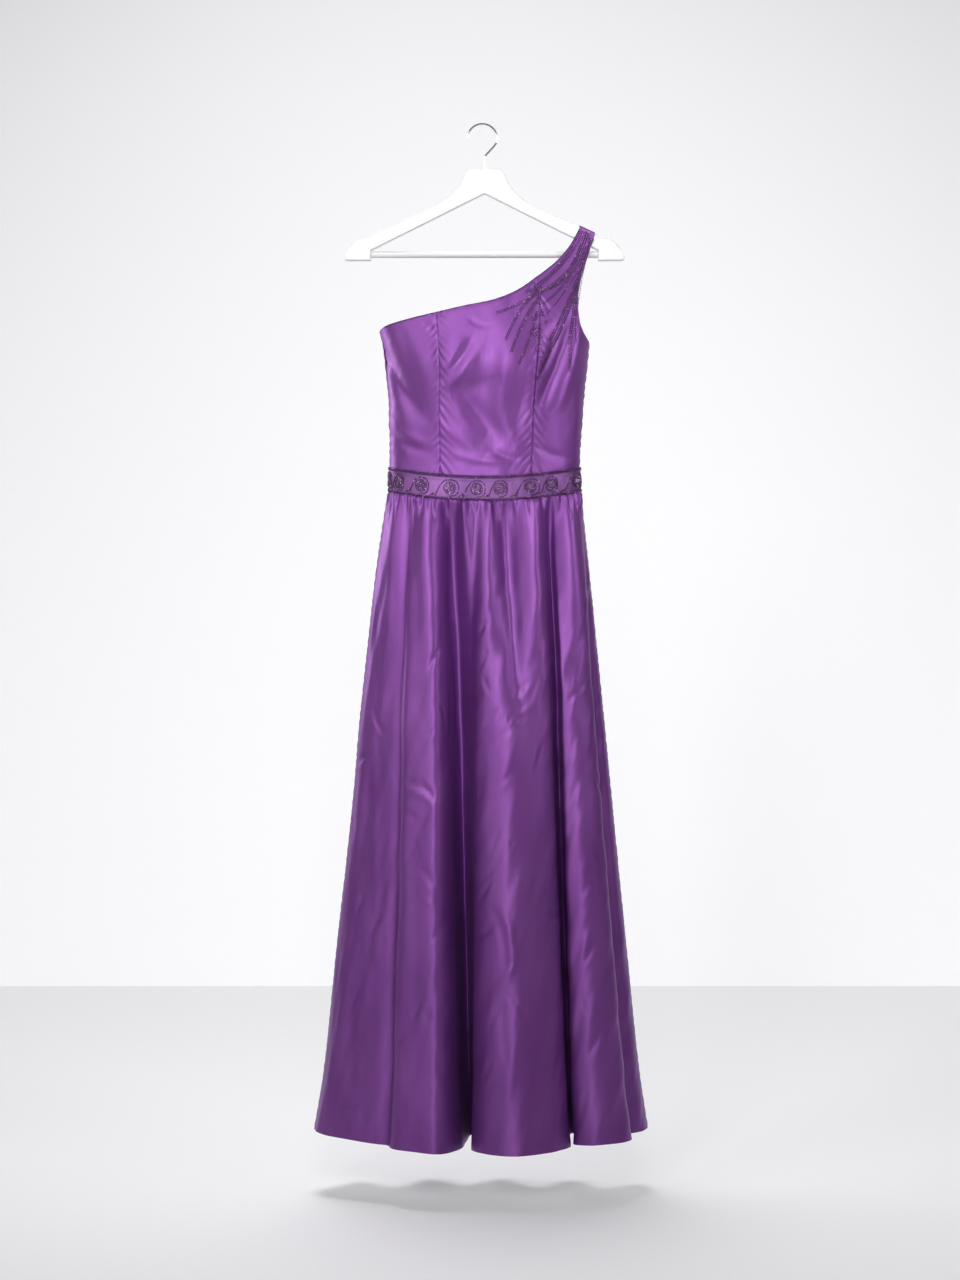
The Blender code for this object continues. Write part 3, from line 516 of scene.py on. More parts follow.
def cloth_piece(name, points, outward, flat, material):
    """A thin closed shell behind a grid of outer points."""
    rows, columns = points.shape[:2]
    normals = grid_normals(points, outward)
    inner = points - normals * CLOTH_THICKNESS
    quads = grid_quads(rows, columns)
    count = rows * columns
    index = np.arange(count).reshape(rows, columns)
    rim = np.concatenate((index[0], index[1:, -1], index[-1, -2::-1], index[-2:0:-1, 0]))
    rim_next = np.roll(rim, -1)
    edge = np.stack((rim, rim + count, rim_next + count, rim_next), -1)
    faces = np.concatenate((quads, quads[:, ::-1] + count, edge))
    middle_row, middle_column = rows // 2, columns // 2
    here = points[middle_row, middle_column + 1] - points[middle_row, middle_column]
    above = points[middle_row + 1, middle_column] - points[middle_row, middle_column]
    if np.dot(np.cross(here, above), normals[middle_row, middle_column]) < 0.0:
        faces = faces[:, ::-1]
    both = np.concatenate((points.reshape(-1, 3), inner.reshape(-1, 3)))
    uvs = np.concatenate((flat.reshape(-1, 2), flat.reshape(-1, 2)))
    mesh = fast_mesh(name, both, faces, uvs)
    mesh.set_sharp_from_angle(angle=SHARP_EDGE)
    return link(name, mesh, [material])


def lengths_along(points, axis):
    """Distance from the first point of each row or column to each of its points."""
    steps = np.linalg.norm(np.diff(points, axis=axis), axis=-1)
    start = np.zeros_like(np.take(steps, [0], axis=axis))
    return np.concatenate((start, np.cumsum(steps, axis=axis)), axis=axis)


def crowded(count):
    """Shares from 0 to 1, about three times as close together at the ends."""
    t = np.linspace(0.0, 1.0, count)
    return blend(t, (1.0 - np.cos(math.pi * t)) / 2.0, CROWDING)


# Bodice

def left_side(height):
    """Angle of the left side seam."""
    return 0.0 * height


def princess_left(height):
    """Angle of the left princess seam."""
    return angle_at(line_at(PRINCESS_LEFT, height), height)


def princess_right(height):
    """Angle of the right princess seam, and of the neckline above it."""
    seam = line_at(PRINCESS_RIGHT, height)
    return angle_at(
        np.where(height < PRINCESS_RIGHT[-1][0], seam, neckline_x(NECKLINE_FRONT, height)), height
    )


def centre_back(height):
    """Angle of the centre back seam."""
    return angle_at(CENTRE_BACK_X, height)


def centre_back_and_neck(height):
    """Angle of the centre back seam, and of the back neckline above it."""
    foot = line_at(NECKLINE_BACK, CENTRE_BACK_X)
    return angle_at(
        np.where(height < foot, CENTRE_BACK_X, neckline_x(NECKLINE_BACK, height)), height
    )


def right_side(armhole_rows):
    """Angle, at each height, of the right side seam and of an armhole above it."""
    def edge(height):
        armhole = angle_at(line_at(armhole_rows, height), height)
        return np.where(height < UNDERARM_HEIGHT, math.pi, armhole)

    return edge


# name, side, left edge, right edge, top edge, columns, height of the neck corner
PANELS = (
    ("bodice_front_left", -1, left_side, princess_left, NECKLINE_FRONT, 46, None),
    ("bodice_front_centre", -1, princess_left, princess_right, NECKLINE_FRONT, 70, None),
    ("bodice_front_right", -1, princess_right, right_side(ARMHOLE_FRONT), None, 56, NECK_FRONT),
    ("bodice_back_left", 1, left_side, centre_back, NECKLINE_BACK, 66, None),
    ("bodice_back_right", 1, centre_back_and_neck, right_side(ARMHOLE_BACK), None, 60, NECK_BACK),
)
PANEL_ROWS = 96
STRAP_ROWS = 34
TURN_ROWS = 9
# Share of the rows up to the underarm, of the front and the back panel with the strap
UNDERARM_ROW_FRONT = 9 / 19
UNDERARM_ROW_BACK = 13 / 19
# Where the strap starts, how soon its creases fade above that, and the share that is left
STRAP_START = -0.30
STRAP_FADE = 0.06
STRAP_CREASES = 0.2
SEAM_DEPTH = 1.2 * MM
SEAM_REACH = 1.8 * MM
LIT_EDGE_SHARE = 0.3
PUCKER_DEPTH = 1.9 * MM
PUCKER_REACH = 9.0 * MM
PUCKER_PITCH = 15.0 * MM
PUCKER_SLANT = 1.1
EDGE_ROLL = 1.1 * MM
EDGE_GROOVE = 0.45 * MM
EDGE_GROOVE_IN = 3.4 * MM
EDGE_GROOVE_HALF = 0.9 * MM


def settle_heights(side, left, right, across, edge):
    """Heights where a panel's columns meet an edge that is given by its x."""
    height = np.full(across.shape, -0.3)
    for _ in range(24):
        angle = blend(left(height), right(height), across)
        x = body_points(side, angle, height)[..., 0]
        height = height + 0.7 * (edge(side, angle, x) - height)
    return height


def corner_shares(shares, corner_share, corner_row):
    """Shares of a column's length, with a row at the column's corner."""
    below = corner_share * shares / corner_row
    above = corner_share + (1.0 - corner_share) * (shares - corner_row) / (1.0 - corner_row)
    return np.where(shares < corner_row, below, above)


def pinch(distance):
    """How far a seam draws the cloth in at a distance from it."""
    return SEAM_DEPTH * bell(distance, SEAM_REACH)


def puckers(distance, along, seed):
    """Short uneven ripples that a seam's tight thread leaves beside it."""
    slanted = along + PUCKER_SLANT * distance
    uneven = 1.3 * np.sin(along / (0.9 * PUCKER_PITCH))
    wave = 2.0 * (0.5 + 0.5 * np.sin(math.tau * slanted / PUCKER_PITCH + uneven)) ** 2 - 0.6
    strength = 0.65 + 0.35 * ripples(0.0, along, seed, 1.0, 0.05, 5)
    fade = np.exp(-distance / PUCKER_REACH) * (1.0 - bell(distance, 1.2 * SEAM_REACH))
    return PUCKER_DEPTH * strength * wave * fade


def bodice_relief(side, points):
    """How far the creases and the cloth's own unevenness lie behind the plain surface."""
    x, height = points[..., 0], points[..., 2]
    rows = BODICE_CREASES if side < 0 else BACK_CREASES
    relief = creases(x, height, rows) + low_waves(x, height, BODICE_WAVES, SEED + side)
    strap = np.clip((height - STRAP_START) / STRAP_FADE, 0.0, 1.0)
    return relief * blend(1.0, STRAP_CREASES, strap)


def bodice_panel(panel, material):
    """One panel of the bodice, with its half of the strap where it has one."""
    name, side, left, right, top, columns, neck = panel
    across = crowded(columns)
    foot = settle_heights(side, left, right, across, lambda s, a, x: band_top(s, a))
    if top is None:
        head = settle_heights(side, left, right, across, lambda s, a, x: strap_top(x)) - STRAP_TURN
        t = np.linspace(0.0, 1.0, PANEL_ROWS + STRAP_ROWS)
        corner_row = PANEL_ROWS / (PANEL_ROWS + STRAP_ROWS)
        left_shares = corner_shares(t, (neck - foot[0]) / (head[0] - foot[0]), corner_row)
        underarm_row = UNDERARM_ROW_FRONT if side < 0 else UNDERARM_ROW_BACK
        underarm = (UNDERARM_HEIGHT - foot[-1]) / (head[-1] - foot[-1])
        right_shares = corner_shares(t, underarm, underarm_row)
    else:
        head = settle_heights(side, left, right, across, lambda s, a, x: line_at(top, x))
        left_shares = right_shares = crowded(PANEL_ROWS)
    shares = blend(left_shares[:, None], right_shares[:, None], across[None, :])
    height = foot + (head - foot) * shares
    angle = blend(left(height), right(height), across)
    points = body_points(side, angle, height)
    outward = body_normals(side, angle, height)

    from_left = lengths_along(points, 1)
    from_right = from_left[:, -1:] - from_left
    up = lengths_along(points, 0)
    from_top = up[-1:] - up
    flat = np.stack((from_left - from_left[:, -1:] / 2.0 + points[:, :1, 0], height), -1)

    inward = bodice_relief(side, points)
    left_seam = right_seam = np.ones_like(height)
    if neck is not None:
        left_seam = (points[:, :1, 2] < neck + 1e-4) * left_seam
        right_seam = (points[:, -1:, 2] < UNDERARM_HEIGHT + 1e-4) * right_seam
    for seam, distance, seed, share in (
        (left_seam, from_left, 3, LIT_EDGE_SHARE), (right_seam, from_right, 5, 1.0),
    ):
        inward = inward + seam * (share * pinch(distance) + puckers(distance, height, SEED + seed))
        inward = inward + (1.0 - seam) * edge_finish(distance)
    if top is not None:
        inward = inward + edge_finish(from_top)
    inward = inward + pinch(up)
    points = points - outward * inward[..., None]

    if top is None:
        turn = np.linspace(0.0, math.pi / 2.0, TURN_ROWS + 1)[1:]
        x = points[-1, :, 0]
        rows, facing = [points], [outward]
        for lean in turn:
            height_here = strap_top(x) - STRAP_TURN * (1.0 - math.sin(lean))
            depth = side * STRAP_HALF_DEPTH * math.cos(lean) + 0.0 * x
            rows.append(np.stack((x, depth, height_here), -1)[None])
            normal = np.array((0.0, side * math.cos(lean), math.sin(lean)))
            facing.append(np.tile(normal, (1, len(x), 1)))
        points, outward = np.concatenate(rows), np.concatenate(facing)
        more = flat[-1:] + np.arange(1, TURN_ROWS + 1)[:, None, None] * np.array((0.0, MM))
        flat = np.concatenate((flat, more))
    piece = cloth_piece(name + "_cloth", points, outward, flat, material)
    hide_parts(name)
    return piece


def edge_finish(distance):
    """A turned edge: the cloth rolls in over its last millimetre behind a fine groove."""
    inside = np.clip(1.0 - distance / EDGE_ROLL, 0.0, 1.0)
    roll = EDGE_ROLL * (1.0 - np.sqrt(np.maximum(1.0 - inside ** 2, 0.0)))
    return roll + EDGE_GROOVE * bell(distance - EDGE_GROOVE_IN, EDGE_GROOVE_HALF)


# Waistband

BAND_COLUMNS = 260
BAND_ROWS = 30
PIPING_ROW = 0.13
PIPING_RISE = 0.9 * MM
PIPING_HALF = 1.3 * MM
BAND_SWELL = 0.8 * MM
BAND_EDGE_DEPTH = 1.6 * MM
BAND_EDGE_REACH = 1.4 * MM


def band_surface(side, share, row):
    """Points and outward directions of the band: share round it, row down from its top."""
    angle = math.pi * share
    height = band_top(side, angle) - BAND_HEIGHT * row
    return body_points(side, angle, height), body_normals(side, angle, height)


def band_swell(row):
    """How far the padding lifts the band at a share of its height."""
    return BAND_PROUD + BAND_SWELL * np.sin(math.pi * np.clip(row, 0.0, 1.0)) ** 0.7


def band(name, side, material):
    """Half of the waistband: soft padding between piped edges."""
    share, row = np.meshgrid(np.linspace(0.0, 1.0, BAND_COLUMNS), crowded(BAND_ROWS)[::-1])
    points, outward = band_surface(side, share, row)
    across = lengths_along(points, 1)
    down = row * BAND_HEIGHT
    rise = band_swell(row) + low_waves(across, down, BAND_WAVES, SEED + side)
    rise = rise + PIPING_RISE * bell(down - PIPING_ROW * BAND_HEIGHT, PIPING_HALF)
    rise = rise - pinch(across) - pinch(across[:, -1:] - across)
    for from_edge in (down, BAND_HEIGHT - down):
        rise = rise - BAND_EDGE_DEPTH * bell(from_edge, BAND_EDGE_REACH)
    points = points + outward * rise[..., None]
    piece = cloth_piece(name + "_cloth", points, outward, np.stack((across, -down), -1), material)
    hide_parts(name)
    return piece


# Skirt

SKIRT_COLUMNS = 260
SKIRT_ROWS = 188
HEM_TURN = 12.0 * MM
HEM_STEP = 0.35 * MM
HEM_STEP_REACH = 1.6 * MM
HEM_GROOVE = 0.5 * MM
HEM_GROOVE_HALF = 1.0 * MM
# How the low waves widen down the skirt, and the length over which they grow to full height
WAVE_SPREADING = 1.6
WAVE_START = 0.15
SIDE_PUCKERS = 0.7
WAIST_PINCH = 1.2
# A fold lifts the cloth forwards, and sideways by this share as much
LIFT_SIDEWAYS = 0.4
# Rows of points are closer together near the waist: share of even steps, power of the others
EVEN_ROWS = 0.55
ROW_POWER = 1.7
# Shares of the drop, above the hem, of two more rows of points
HEM_ROWS = (4.0 * MM, 1.5 * MM)


class Skirt:
    """The gathered skirt: straight from each place of the waist to its place in the hem."""

    def __init__(self):
        self.hem = np.array([row[2:4] for row in SKIRT_FOLDS])
        following = np.roll(self.hem, -1, axis=0)
        reach = np.linalg.norm(following - self.hem, axis=1)
        self.keys = np.concatenate(([0.0], np.cumsum(reach)))
        self.places = np.array(column(SKIRT_FOLDS, 1) + [2.0])
        before = np.roll(reach, 1)[:, None]
        after = reach[:, None]
        slope = (self.hem - np.roll(self.hem, 1, axis=0)) * after / before
        slope = slope + (following - self.hem) * before / after
        self.tangents = slope / (before + after)
        self.right_seam = self.keys[column(SKIRT_FOLDS, 0).index("right seam")]

    def hem_points(self, key):
        """Points of the hem curve, seen from above."""
        row = np.clip(np.searchsorted(self.keys, key, side="right") - 1, 0, len(self.hem) - 1)
        span = (self.keys[row + 1] - self.keys[row])[:, None]
        f = (key - self.keys[row])[:, None] / span
        after = (row + 1) % len(self.hem)
        return cubic(
            self.hem[row], self.hem[after], self.tangents[row], self.tangents[after], span, f
        )

    def surface(self, key, drop):
        """Grid of points: a row for each drop, a column for each key, with its places."""
        place = even_curve(self.keys, self.places, key)
        side = -1 if np.mean(place) <= 1.0 else 1
        angle = math.pi * np.where(place <= 1.0, place, 2.0 - place)
        top = band_top(side, angle) - BAND_HEIGHT
        foot = HEM_HEIGHT - HEM_FRONT_DIP * (np.sin(angle) if side < 0 else 0.0)
        waist = body_points(side, angle, top)
        hem = self.hem_points(key)
        share = drop[:, None]
        flare = blend(
            even_curve(column(SKIRT_FLARE, 0), column(SKIRT_FLARE, 1), share),
            even_curve(column(SKIRT_FLARE, 0), column(SKIRT_FLARE, 2), share),
            (1.0 - np.cos(angle))[None, :] / 2.0,
        )
        below = (top - foot) * share
        lift = (gathers(place, below) + soft_folds(place, share)) * by_seams(place)
        outward = unit(np.stack((-np.cos(angle) * LIFT_SIDEWAYS, side * np.sin(angle)), -1))
        x = waist[:, 0] + (hem[:, 0] - waist[:, 0]) * flare + outward[:, 0] * lift
        y = waist[:, 1] + (hem[:, 1] - waist[:, 1]) * flare + outward[:, 1] * lift
        return np.stack((x, y, top - below), -1), place, below


def by_seams(place):
    """Share of the folds that is left near the side seams, where the cloth lies flat."""
    return np.minimum(1.0, FOLDS_FROM_SEAMS * np.abs(np.sin(math.pi * place)))


def gathers(place, below):
    """Narrow notches between rounded ridges, right under the band, uneven in length."""
    uneven = ripples(place, 0.0, SEED + 31, 0.07, 1.0, 6)
    peak = GATHER_PEAK * (1.0 + 0.25 * uneven)
    swell = (0.25 + below / peak) * np.exp(1.0 - below / peak - 0.25)
    wave = np.sin(math.pi * GATHERS * place + 0.9 * np.sin(7.0 * math.pi * place))
    ridge = 2.0 * ((1.0 + wave) / 2.0) ** 0.6
    lift = GATHER_RISE * swell * ridge * (1.0 + 0.3 * uneven)
    draw = np.random.default_rng(SEED + 33)
    for notch in range(NOTCHES):
        middle = 2.0 * (notch + draw.uniform(0.15, 0.85)) / NOTCHES
        centred = math.exp(-(((middle % 1.0) - 0.5) / 0.32) ** 2)
        length = draw.uniform(*NOTCH_LENGTHS) * (0.55 + 0.75 * centred)
        depth = draw.uniform(*NOTCH_DEPTHS) * (0.40 + 0.75 * centred)
        half_width = draw.uniform(*NOTCH_HALF_WIDTHS) * (1.0 + NOTCH_WIDENING * below)
        lean = draw.uniform(*NOTCH_LEANS)
        away = ((place - middle + 1.0) % 2.0 - 1.0) * WAIST_ARC + lean * below
        start = 0.35 + 0.65 * np.minimum(below / NOTCH_START, 1.0)
        fade = bell(below, length) * start
        lift = lift - depth * fade * bell(away, half_width)
    return lift


def soft_folds(place, drop):
    """How far the softer folds lift the cloth at each place and share of the drop."""
    lift = 0.0
    for _, top_place, foot_place, rise, half_width, foot in SOFT_FOLDS:
        along = np.minimum(drop / foot, 1.0)
        away = (place - blend(top_place, foot_place, along)) * WAIST_ARC
        swell = np.sin(math.pi * (FOLD_START + (1.0 - FOLD_START) * along) ** FOLD_POWER)
        lift = lift + rise * swell * bell(away, half_width * (1.0 + along))
    return lift


def crumple_rows():
    """Small creases beside each line of crumples, slanting, of uneven length and depth."""
    draw = np.random.default_rng(SEED + 91)
    rows = []
    for name, low, high, x_top, z_top, x_foot, z_foot, count in CRUMPLES:
        for spot in range(count):
            share = (spot + draw.uniform(0.1, 0.9)) / count
            x = blend(x_top, x_foot, share) + draw.normal(0.0, CRUMPLE_SPREAD)
            height = blend(z_top, z_foot, share)
            lean = math.radians(draw.uniform(*CRUMPLE_SLANTS)) * draw.choice((1.0, 1.0, -1.0))
            reach = draw.uniform(*CRUMPLE_REACHES)
            run_x, run_z = reach * math.cos(lean), reach * math.sin(lean)
            bend = draw.normal(0.0, CRUMPLE_BEND)
            depth, half_width = draw.uniform(*CRUMPLE_DEPTHS), draw.uniform(*CRUMPLE_HALF_WIDTHS)
            for share, lower in ((1.0, 0.0), (CRUMPLE_RIDGE, CRUMPLE_RIDGE_BELOW * half_width)):
                z = height - lower
                rows.append((
                    name, low, high, x - run_x, z - run_z, x + bend, z + bend,
                    x + run_x, z + run_z, share * depth, half_width,
                ))
    return rows


def skirt_relief(points, place, below):
    """Creases and unevenness of the skirt's cloth, as a depth behind its plain surface."""
    x, height = points[..., 0], points[..., 2]
    relief = np.zeros(x.shape)
    for row in (*SKIRT_CREASES, *crumple_rows()):
        window = (place > row[1]) & (place < row[2])
        if window.any():
            relief[:, window] += creases(x[:, window], height[:, window], (row,))
    around = place * WAIST_ARC * (1.0 + WAVE_SPREADING * below)
    depth = np.clip(below / WAVE_START, 0.0, 1.0)
    relief = relief + depth * low_waves(around, below, SKIRT_WAVES, SEED)
    return relief * by_seams(place)


def skirt_panel(skirt, name, side, material):
    """Front or back of the skirt, with its hem turned up and stitched."""
    start, end = (0.0, skirt.right_seam) if side < 0 else (skirt.right_seam, skirt.keys[-1])
    dense = np.linspace(start, end, 4000)
    place = even_curve(skirt.keys, skirt.places, dense)
    spread = (place - place[0]) / (place[-1] - place[0]) + (dense - start) / (end - start)
    keys = np.interp(np.linspace(0.0, 2.0, SKIRT_COLUMNS), spread, dense)
    t = np.linspace(0.0, 1.0, SKIRT_ROWS)
    drop = blend(t ** ROW_POWER, t, EVEN_ROWS)
    drop = np.concatenate((drop[:-1], 1.0 - np.array(HEM_ROWS), [1.0]))
    points, place, below = skirt.surface(keys, np.sort(drop)[::-1])
    across = lengths_along(points, 1)
    to_hem = below[:1] - below
    relief = skirt_relief(points, place, below) + WAIST_PINCH * pinch(below)
    for distance, seed in ((across, 61), (across[:, -1:] - across, 62)):
        relief = relief + pinch(distance) + SIDE_PUCKERS * puckers(distance, below, SEED + seed)
    relief = relief - HEM_STEP * np.clip((HEM_TURN - to_hem) / HEM_STEP_REACH + 0.5, 0.0, 1.0)
    relief = relief + HEM_GROOVE * bell(to_hem - HEM_TURN, HEM_GROOVE_HALF)
    normals = unit(np.cross(np.gradient(points, axis=1), np.gradient(points, axis=0)))
    if np.mean(normals[..., 1]) * side < 0.0:
        normals = -normals
    points = points - normals * relief[..., None]
    flat = np.stack((across - across[:, -1:] / 2.0, -below), -1)
    piece = cloth_piece(name + "_cloth", points, normals, flat, material)
    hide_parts(name)
    return piece


# Bead embroidery

BEAD_RADIUS = 1.10 * MM
BEAD_PITCH = 2.6 * MM
# As shares of a bead's radius: the least and greatest size, how far it strays and stands off the
# cloth, and its form along the thread, across it and off the cloth
BEAD_SIZES = (0.88, 1.10)
BEAD_STRAY = 0.10
BEAD_LIFT = 0.72
BEAD_FORM = (0.86, 1.0, 0.92)
BALL_RINGS, BALL_SIDES = 4, 8
# Share of bright beads: on the strap, on the band, and in its sparse cord and sprays
BRIGHT_ON_STRAP, BRIGHT_ON_BAND, BRIGHT_ACCENTS = 0.06, 0.08, 0.3
# Strings of beads that fan out from the strap over the bodice's front.
# name, x and height of the start, a middle point and the end, rows of beads
STRAP_STRINGS = metres((
    ("along the neck", 158.5, -168, 119, -227, 70, -270, 3),
    ("neck string", 165, -169, 121, -246, 22, -304, 2),
    ("strap's middle", 169, -171, 141, -232, 104, -264, 2),
    ("strap's neck side", 162, -170, 131, -238, 90, -268, 2),
    ("first long", 93, -260, 60, -298, 36, -348, 2),
    ("second long", 95, -268, 67, -312, 45, -366, 2),
    ("third long", 86, -300, 71, -349, 56, -387, 2),
    ("upper inner", 156, -214, 126, -258, 92, -290, 2),
    ("middle inner", 151, -232, 124, -274, 101, -303, 1),
    ("lower inner", 148, -246, 126, -302, 105, -345, 2),
    ("swept", 147, -258, 129, -315, 103, -372, 1),
    ("longest", 145, -268, 116, -340, 85, -408, 2),
    ("by the armhole", 170.5, -180, 147, -262, 135, -393, 2),
    ("armhole's edge", 173.5, -180, 151, -252, 146, -305, 2),
    ("armhole's tail", 148, -262, 146, -303, 145.5, -347, 1),
), (7,))
BACK_STRINGS = metres((
    ("along the neck", 156, -180, 138, -224, 116, -268, 2),
    ("middle", 163, -182, 150, -226, 130, -292, 2),
    ("by the armhole", 170, -188, 158, -232, 148, -300, 2),
    ("short", 160, -200, 144, -240, 124, -278, 1),
), (7,))
# Painted shade of the neckline's turned edge: a line of dark beads just under the edge, and the x
# of its two ends
NECK_SHADE_BELOW = 1.3 * MM
NECK_SHADE_PITCH = 1.8 * MM
NECK_SHADE_RADIUS = 1.0 * MM
NECKLINE_ENDS = (-0.152, 0.153)
# Painted shade in the princess seams: lines of dark beads down them, from their feet up to the
# neckline or the strap
SEAM_SHADE_PITCH = 2.6 * MM
SEAM_SHADE_RADIUS = 0.7 * MM
SEAM_SHADE_FOOT = -0.556
SEAM_SHADE_TOPS = ((PRINCESS_LEFT, -0.304), (PRINCESS_RIGHT, NECK_FRONT))
# Small rings in the fan, and the angle that they start from
RING_START = 0.6
# name, x and height of the middle, radius, share of the turn
STRAP_RINGS = metres((
    ("ring", 96.8, -302, 5.5, 1.0),
    ("ring's heart", 96.8, -302, 2.2, 1.0),
    ("scroll", 85, -313, 8.5, 0.60),
    ("loop", 86.5, -336, 8, 0.85),
    ("loop's heart", 86.5, -336, 4, 0.85),
    ("drop", 99.4, -317.3, 2.2, 1.0),
    ("small scroll", 83, -293.5, 7, 0.55),
    ("low scroll", 89, -360, 6.5, 0.60),
    ("last curl", 90.5, -378, 5, 0.50),
), (4,))
# Shares of the way round each half where the middles of its rosettes are
ROSETTES_FRONT = (0.030, 0.154, 0.272, 0.382, 0.473, 0.549, 0.654, 0.739, 0.900)
ROSETTES_BACK = (0.060, 0.175, 0.285, 0.390, 0.485, 0.580, 0.680, 0.790, 0.905)
ROSETTE_RADIUS = 9.0 * MM
ROSETTE_PITCH = 2.2 * MM
ROSETTE_BELOW = 0.6 * MM
# The cords of beads along the band's edges
BRAID_RISE = 1.7 * MM
BRAID_WAVE = 10.5 * MM
BRAID_ABOVE = 0.4 * MM
LOWER_CORD_RISE = 0.9 * MM
LOWER_CORD_WAVE = 9.0 * MM
LOWER_CORD_UP = 1.0 * MM
SPARSE_CORD_UP = 2.6 * MM
SPARSE_PITCH = 4.0 * MM
# The spray of short stems at the foot of each vine: slants in degrees, length, how low it starts
SPRAY_SLANTS = (35.0, 73.0, 111.0)
SPRAY_LENGTH = 6.5 * MM
SPRAY_BELOW = 13.0 * MM
# share of the radius, share of bright beads
ROSETTE_RINGS = ((1.0, 0.06), (0.72, 0.22), (0.46, 0.45), (0.20, 0.60))
# The vine over a rosette, from its middle, in millimetres along and up the band, as it is drawn
# for rosettes that lie this far apart
VINE_PERIOD = 40.0 * MM
VINE = (
    (-27, -12.5), (-19, -9), (-13.5, 2), (-7, 10.5), (1, 13), (8.5, 10.5), (12.6, 4), (12.4, -4),
    (8, -11), (0, -12.6),
)


class Beads:
    """Places for beads, gathered up and then made into one joined mesh."""

    def __init__(self, seed):
        self.draw = np.random.default_rng(seed)
        self.places, self.frames, self.radii, self.kinds = [], [], [], []

    def add(self, points, normals, tangents, radius=BEAD_RADIUS, bright=BRIGHT_ON_STRAP):
        """Beads at points on the cloth, standing on it, threaded along the tangents."""
        across = unit(np.cross(normals, tangents))
        along = unit(np.cross(across, normals))
        size = radius * self.draw.uniform(*BEAD_SIZES, len(points))
        stray = self.draw.normal(0.0, BEAD_STRAY, (len(points), 2)) * radius
        lifted = points + normals * (size * BEAD_LIFT)[:, None]
        self.places.append(lifted + across * stray[:, :1] + along * stray[:, 1:])
        form = (axis * share for axis, share in zip((along, across, normals), BEAD_FORM))
        self.frames.append(np.stack(tuple(form), 1))
        self.radii.append(size)
        self.kinds.append((self.draw.uniform(size=len(points)) < bright).astype(int))

    def piece(self, name, materials, slot_name):
        """All of them as one mesh of small round beads."""
        ball, faces = ball_template()
        places, frames = np.concatenate(self.places), np.concatenate(self.frames)
        radii, kinds = np.concatenate(self.radii), np.concatenate(self.kinds)
        points = places[:, None] + np.einsum("vi,bij->bvj", ball, frames) * radii[:, None, None]
        offsets = np.arange(len(places))[:, None, None] * len(ball)
        mesh = fast_mesh(name, points.reshape(-1, 3), (faces[None] + offsets).reshape(-1, 3))
        mesh.polygons.foreach_set("material_index", np.repeat(kinds, len(faces)).astype(np.int32))
        piece = link(name, mesh, materials)
        return piece


def ball_template():
    """Points and faces of a small round ball: rings between two poles."""
    rings, sides = BALL_RINGS, BALL_SIDES
    points = [(0.0, 0.0, 1.0)]
    for ring in range(1, rings + 1):
        polar = math.pi * ring / (rings + 1)
        for side in range(sides):
            turn = math.tau * (side + 0.5 * (ring % 2)) / sides
            points.append((
                math.sin(polar) * math.cos(turn), math.sin(polar) * math.sin(turn), math.cos(polar)
            ))
    points.append((0.0, 0.0, -1.0))
    faces = []
    last = len(points) - 1
    for side in range(sides):
        after = (side + 1) % sides
        faces.append((0, 1 + side, 1 + after))
        foot = 1 + (rings - 1) * sides
        faces.append((last, foot + after, foot + side))
        for ring in range(rings - 1):
            a, b = 1 + ring * sides + side, 1 + ring * sides + after
            faces.append((a, a + sides, b + sides))
            faces.append((a, b + sides, b))
    return np.array(points), np.array(faces)


def stepped(line, pitch, offset=0.0):
    """Places along a line, a pitch apart, moved sideways by an offset; and directions."""
    steps = np.linalg.norm(np.diff(line, axis=0), axis=1)
    travel = np.concatenate(([0.0], np.cumsum(steps)))
    at = np.arange(pitch / 2.0, travel[-1], pitch)
    spots, ahead, behind = (
        np.stack([np.interp(at + shift, travel, line[:, axis]) for axis in (0, 1)], -1)
        for shift in (0.0, pitch / 4.0, -pitch / 4.0)
    )
    along = unit(ahead - behind)
    sideways = np.stack((-along[:, 1], along[:, 0]), -1)
    return spots + sideways * offset, along


def on_bodice(side, spots, along):
    """Points, outward directions and thread directions on the bodice at x and height."""
    def surface(places):
        angle = angle_at(places[:, 0], places[:, 1])
        points = body_points(side, angle, places[:, 1])
        normals = body_normals(side, angle, places[:, 1])
        return points - normals * bodice_relief(side, points)[:, None], normals

    points, normals = surface(spots)
    ahead, _ = surface(spots + along * 0.2 * MM)
    return points, normals, unit(ahead - points)


def strap_beading(materials):
    """The fan of bead strings on the strap, its scrolls, and lines of dark beads as painted shade
    along the neck edge and the princess seams.
    """
    beads = Beads(SEED + 71)
    for side, strings in ((-1, STRAP_STRINGS), (1, BACK_STRINGS)):
        for _, *line, rows in strings:
            for row in range(rows):
                offset = (row - (rows - 1) / 2.0) * BEAD_PITCH
                spots, along = stepped(bent_line(*line), BEAD_PITCH, offset)
                beads.add(*on_bodice(side, spots, along))
    # A line of dark beads under the neckline: painted shade of its turned edge
    for side, neckline in ((-1, NECKLINE_FRONT), (1, NECKLINE_BACK)):
        x = np.linspace(*NECKLINE_ENDS, 700)
        line = np.stack((x, line_at(neckline, x) - NECK_SHADE_BELOW), -1)
        spots, along = stepped(line, NECK_SHADE_PITCH)
        beads.add(*on_bodice(side, spots, along), NECK_SHADE_RADIUS, 0.0)
    # Dark beads down the princess seams: painted shade of the seam grooves
    for seam, top in SEAM_SHADE_TOPS:
        height = np.linspace(SEAM_SHADE_FOOT, top, 400)
        spots, along = stepped(np.stack((line_at(seam, height), height), -1), SEAM_SHADE_PITCH)
        beads.add(*on_bodice(-1, spots, along), SEAM_SHADE_RADIUS, 0.0)
    for _, x, height, radius, turn in STRAP_RINGS:
        angles = np.linspace(0.0, math.tau * turn, 60) + RING_START
        line = np.stack((x + radius * np.cos(angles), height + radius * np.sin(angles)), -1)
        beads.add(*on_bodice(-1, *stepped(line, BEAD_PITCH)))
    return beads.piece("strap_beading", materials, "beaded_band")


